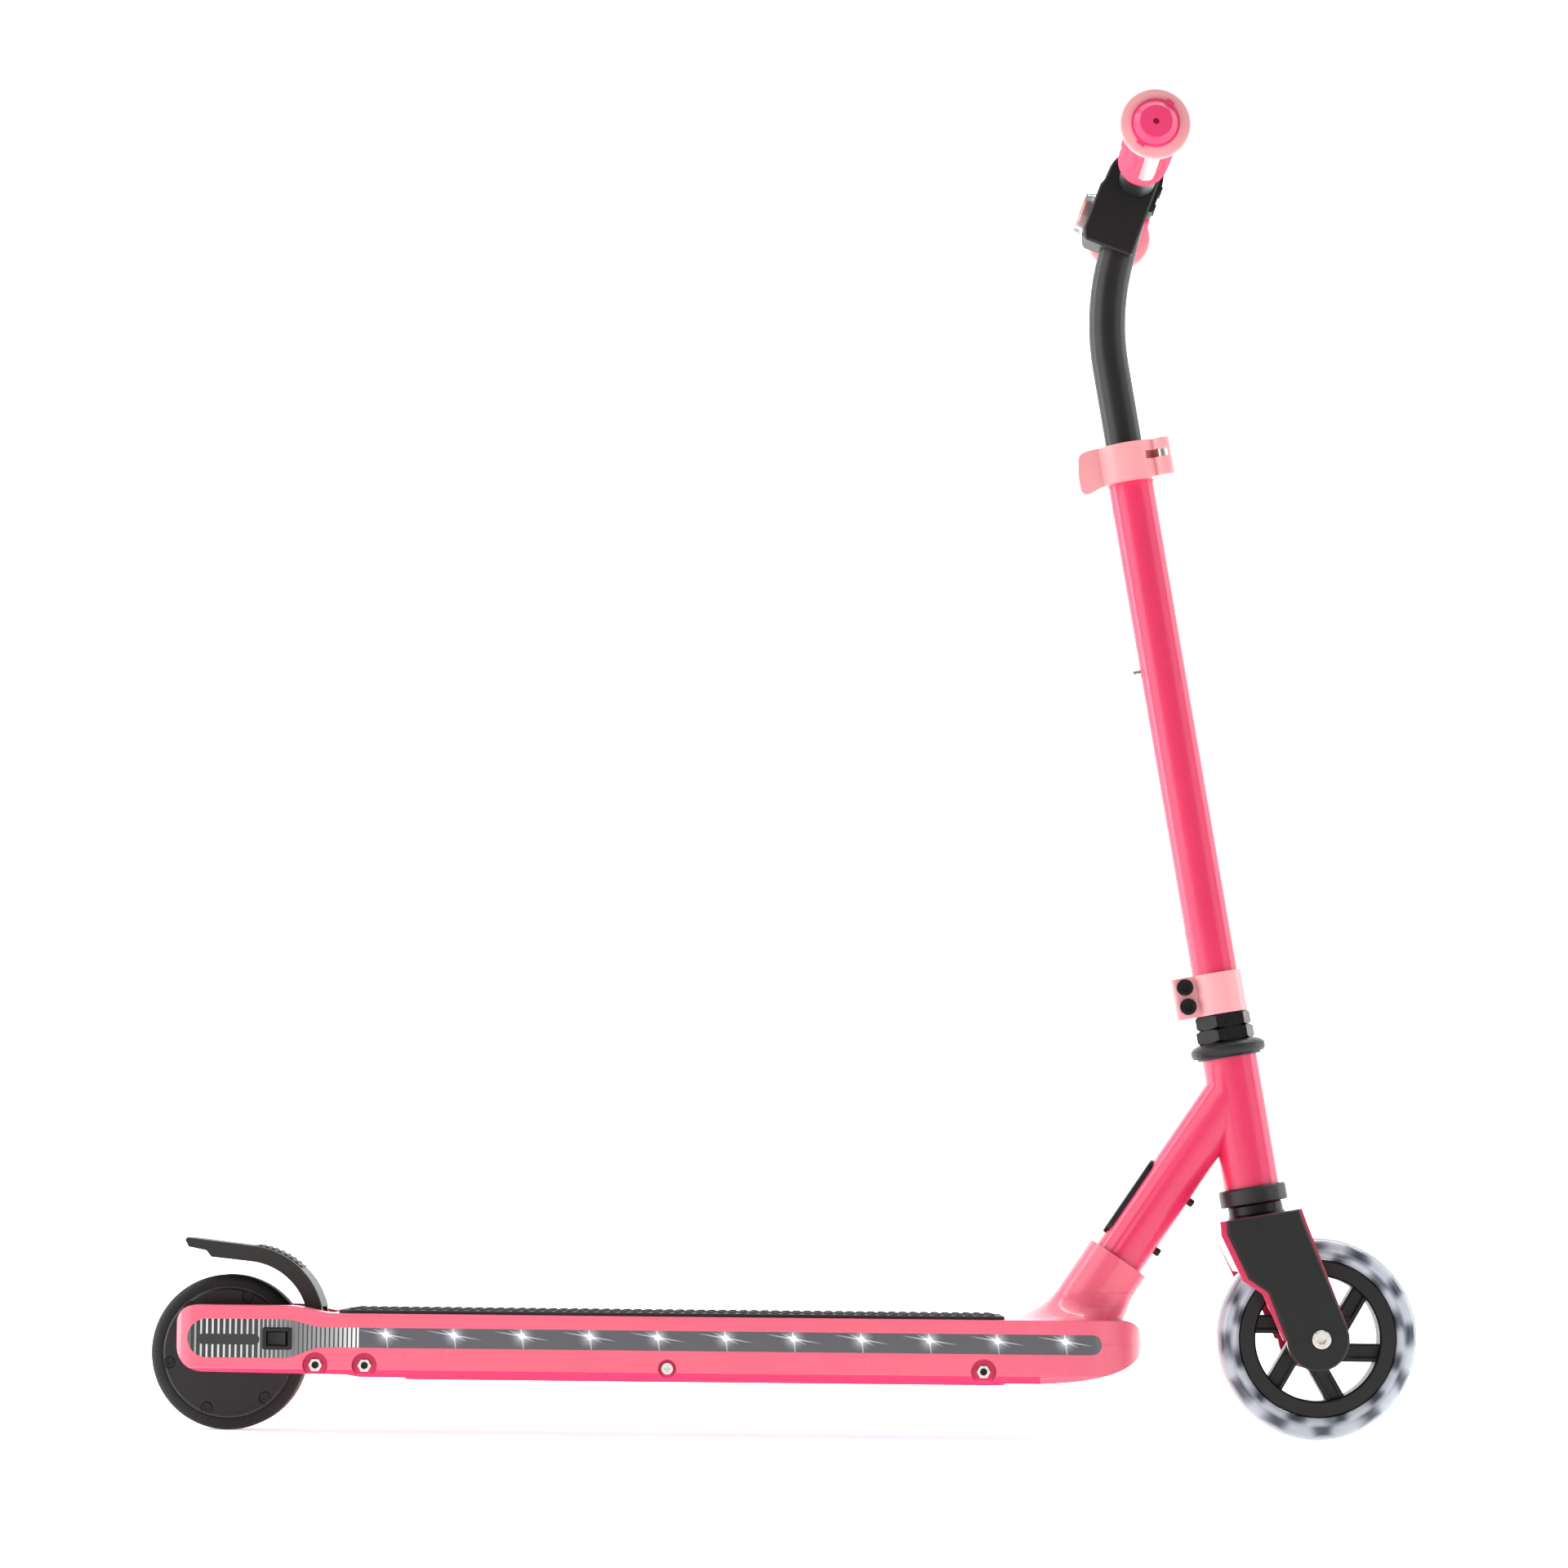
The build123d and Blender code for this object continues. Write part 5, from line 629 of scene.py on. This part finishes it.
tongue_in, tongue_half, tongue_steps = 0.098, 0.0042, 10
for side, hand in ((-1, "right"), (1, "left")):
    form = bmesh.new()
    rings = []
    for j in range(tongue_steps + 1):
        u = j / tongue_steps
        y = side * (tongue_in + (grip_out - tongue_in) * u)
        half = tongue_half * (1.0 if j > 1 else 0.72 + 0.14 * j) / grip_r
        angles = [-pi / 2 + half * (k / 4 - 1) for k in range(9)]
        outer = [(grip_r + 0.0006, a) for a in angles]
        rings.append([form.verts.new((bar_x + r * cos(a), y, bar_z + r * sin(a)))
                      for r, a in outer + [(grip_r - 0.0022, a) for a in reversed(angles)]])
    for here, after in zip(rings, rings[1:]):
        for i in range(len(here)):
            k = (i + 1) % len(here)
            form.faces.new((here[i], here[k], after[k], after[i]))
    form.faces.new(list(reversed(rings[0])))
    form.faces.new(rings[-1])
    bmesh.ops.recalc_face_normals(form, faces=form.faces)
    tongue = piece_of("grip_tongue_" + hand, form, pale_abs, smooth=False)
    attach(tongue, "handlebar")

# ------------------------------------------------------------------ fender pad and spring
# A grooved rubber tread pad is let into the top of the fender, where the rider's heel presses, and
# a wound torsion spring on the hinge pin lifts it off the tyre.
fender_low, fender_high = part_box("fender")
arc_x, arc_z, arc_r = -0.3209, 0.0618, 0.0476
pad_rubber = moulded_plastic("fender_pad_rubber", "2C2A29", 0.6, 0.8, 0.03)
form = bmesh.new()
rings = []
pad_steps, pad_half, pad_proud = 48, 0.0140, 0.0011
for i in range(pad_steps + 1):
    a = radians(46 + 38 * i / pad_steps)
    groove = 0.0006 if (i // 3) % 2 else 0.0
    lift = arc_r + (pad_proud - groove if 0 < i < pad_steps else 0.0)
    ring = [form.verts.new((arc_x + r * cos(a), y, arc_z + r * sin(a)))
            for y, r in ((-pad_half, arc_r - 0.001), (-pad_half, lift - 0.0005), (-pad_half + 0.0006, lift),
                         (pad_half - 0.0006, lift), (pad_half, lift - 0.0005), (pad_half, arc_r - 0.001))]
    rings.append(ring)
for here, after in zip(rings, rings[1:]):
    for j in range(6):
        k = (j + 1) % 6
        form.faces.new((here[j], after[j], after[k], here[k]))
form.faces.new(rings[0])
form.faces.new(list(reversed(rings[-1])))
bmesh.ops.recalc_face_normals(form, faces=form.faces)
fender_pad = piece_of("fender_pad", form, pad_rubber, smooth=False)
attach(fender_pad, "fender")

spring_low, spring_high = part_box("fender_spring")
hinge_x, hinge_z = (spring_low[0] + spring_high[0]) / 2, (spring_low[2] + spring_high[2]) / 2
wire_r, coil_r, coils, per_turn, wire_sides = 0.0007, 0.0031, 17, 20, 8
form = bmesh.new()
rings = []
for i in range(coils * per_turn + 1):
    a = 2 * pi * i / per_turn
    y = spring_low[1] + wire_r + (spring_high[1] - spring_low[1] - 2 * wire_r) * i / (coils * per_turn)
    rings.append([form.verts.new((hinge_x + (coil_r + wire_r * cos(b)) * cos(a), y + wire_r * sin(b),
                                  hinge_z + (coil_r + wire_r * cos(b)) * sin(a)))
                  for b in (2 * pi * k / wire_sides for k in range(wire_sides))])
for here, after in zip(rings, rings[1:]):
    for j in range(wire_sides):
        k = (j + 1) % wire_sides
        form.faces.new((here[j], here[k], after[k], after[j]))
form.faces.new(list(reversed(rings[0])))
form.faces.new(rings[-1])
bmesh.ops.recalc_face_normals(form, faces=form.faces)
coil = piece_of("fender_spring_coil", form, black_steel)
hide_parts("fender_spring")
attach(coil, "chassis")

# ------------------------------------------------------------------ throttle button
# A red button of glossy ABS in a clear polycarbonate surround, pressed by the thumb.
clear_guard, tree, out = blank_finish("clear_polycarbonate_guard")
shader = add_node(tree, "ShaderNodeBsdfPrincipled", None,
                  {"Base Color": linear("D9DDDC"), "Roughness": 0.12, "IOR": 1.58, "Transmission Weight": 0.9,
                   "Coat Weight": 0.4})
tree.links.new(shader.outputs[0], out.inputs[0])
dress(clear_guard, "button_bezel")
red_abs = moulded_plastic("red_abs_polished", "D02A3C", 0.25, 1.0, 0.004, coat=0.4)
dress(red_abs, "throttle_button")

# ------------------------------------------------------------------ small fixings
# Black bolt ends with a small round recess show inside the bright side nuts. They are turned steel
# with a black oxide skin.
def disc_form(places, profile, sides=32):
    """Turned forms: each place gets (radius, offset) rings round a y axis, closed at both ends."""
    form = bmesh.new()
    for x, y, z, hand in places:
        rings = [[form.verts.new((x + r * cos(2 * pi * i / sides), y + hand * off,
                                  z + r * sin(2 * pi * i / sides))) for i in range(sides)]
                 for r, off in profile]
        for here, after in zip(rings, rings[1:]):
            for i in range(sides):
                k = (i + 1) % sides
                form.faces.new((here[i], here[k], after[k], after[i]))
        form.faces.new(list(reversed(rings[0])))
        form.faces.new(rings[-1])
    bmesh.ops.recalc_face_normals(form, faces=form.faces)
    return form


fixing_low, fixing_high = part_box("side_fixings")
bolt_places = [(x, side * fixing_high[1], fixing_z, side) for x, radius in recesses if radius > 0.006
               for side in (-1, 1)]
bolt_ends = piece_of("side_bolt_ends", disc_form(
    bolt_places, ((0.0021, -0.0008), (0.0021, 0.0002), (0.0018, 0.0005), (0.0011, 0.0005), (0.0009, -0.0004))),
    black_steel, smooth=False)
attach(bolt_ends, "chassis")

# ------------------------------------------------------------------ rim spokes
# Each nylon spoke has a raised rim round a sunk slot, which stiffens it where it meets hub and tyre.
rim_low, rim_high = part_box("front_rim")
spoke_count, spoke_shift, spoke_in, spoke_out, spoke_half = 6, 0.0082, 0.0200, 0.0350, 0.0036
rib_half, rib_high, rib_steps = 0.0009, 0.0012, 10
form = bmesh.new()
face_y = 0.0080
for k in range(spoke_count):
    a = radians(360 / spoke_count * k)
    path = [(spoke_in, spoke_half), (spoke_out, spoke_half)]
    path += [(spoke_out + spoke_half * sin(pi * i / rib_steps), spoke_half * cos(pi * i / rib_steps))
             for i in range(1, rib_steps)]
    path += [(spoke_out, -spoke_half), (spoke_in, -spoke_half)]
    path += [(spoke_in - spoke_half * sin(pi * i / rib_steps), -spoke_half * cos(pi * i / rib_steps))
             for i in range(1, rib_steps)]
    for side in (-1, 1):
        rings = []
        for u, v in path:
            near = (min(max(u, spoke_in), spoke_out), 0.0)
            out_u, out_v = (u - near[0]) / spoke_half, v / spoke_half
            ring = []
            for w, h in ((-rib_half, -0.0006), (-rib_half * 0.7, rib_high), (rib_half * 0.7, rib_high),
                         (rib_half, -0.0006)):
                uu, vv = u + out_u * w, v + out_v * w - spoke_shift
                ring.append(form.verts.new((front_hub[0] + uu * cos(a) - vv * sin(a), side * (face_y + h),
                                            front_hub[1] + uu * sin(a) + vv * cos(a))))
            rings.append(ring)
        for n in range(len(rings)):
            here, after = rings[n], rings[(n + 1) % len(rings)]
            for j in range(4):
                m = (j + 1) % 4
                form.faces.new((here[j], after[j], after[m], here[m]))
bmesh.ops.recalc_face_normals(form, faces=form.faces)
spoke_ribs = piece_of("front_rim_ribs", form, rim_nylon, smooth=False)
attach(spoke_ribs, "front_wheel")

# ------------------------------------------------------------------ inner pieces
# Battery in blue shrink film, a finned alloy controller, green boards and the motor's laminated
# core and shell. They are closed in, and show only when the covers are off.
blue_film = moulded_plastic("battery_shrink_film", "1B3F8C", 0.3, 1.5, 0.02)
green_board = moulded_plastic("solder_masked_board", "1E6B3A", 0.4, 1.5, 0.01)
dress(blue_film, "battery_pack")
dress(green_board, "led_boards")
cast_alloy = turned_steel("sand_cast_alloy", "5A5A5C", 0.45)
laminated_core = turned_steel("laminated_motor_core", "7A5C48", 0.5)
dress(cast_alloy, "motor_controller", "motor_shell")
dress(laminated_core, "motor_stator")
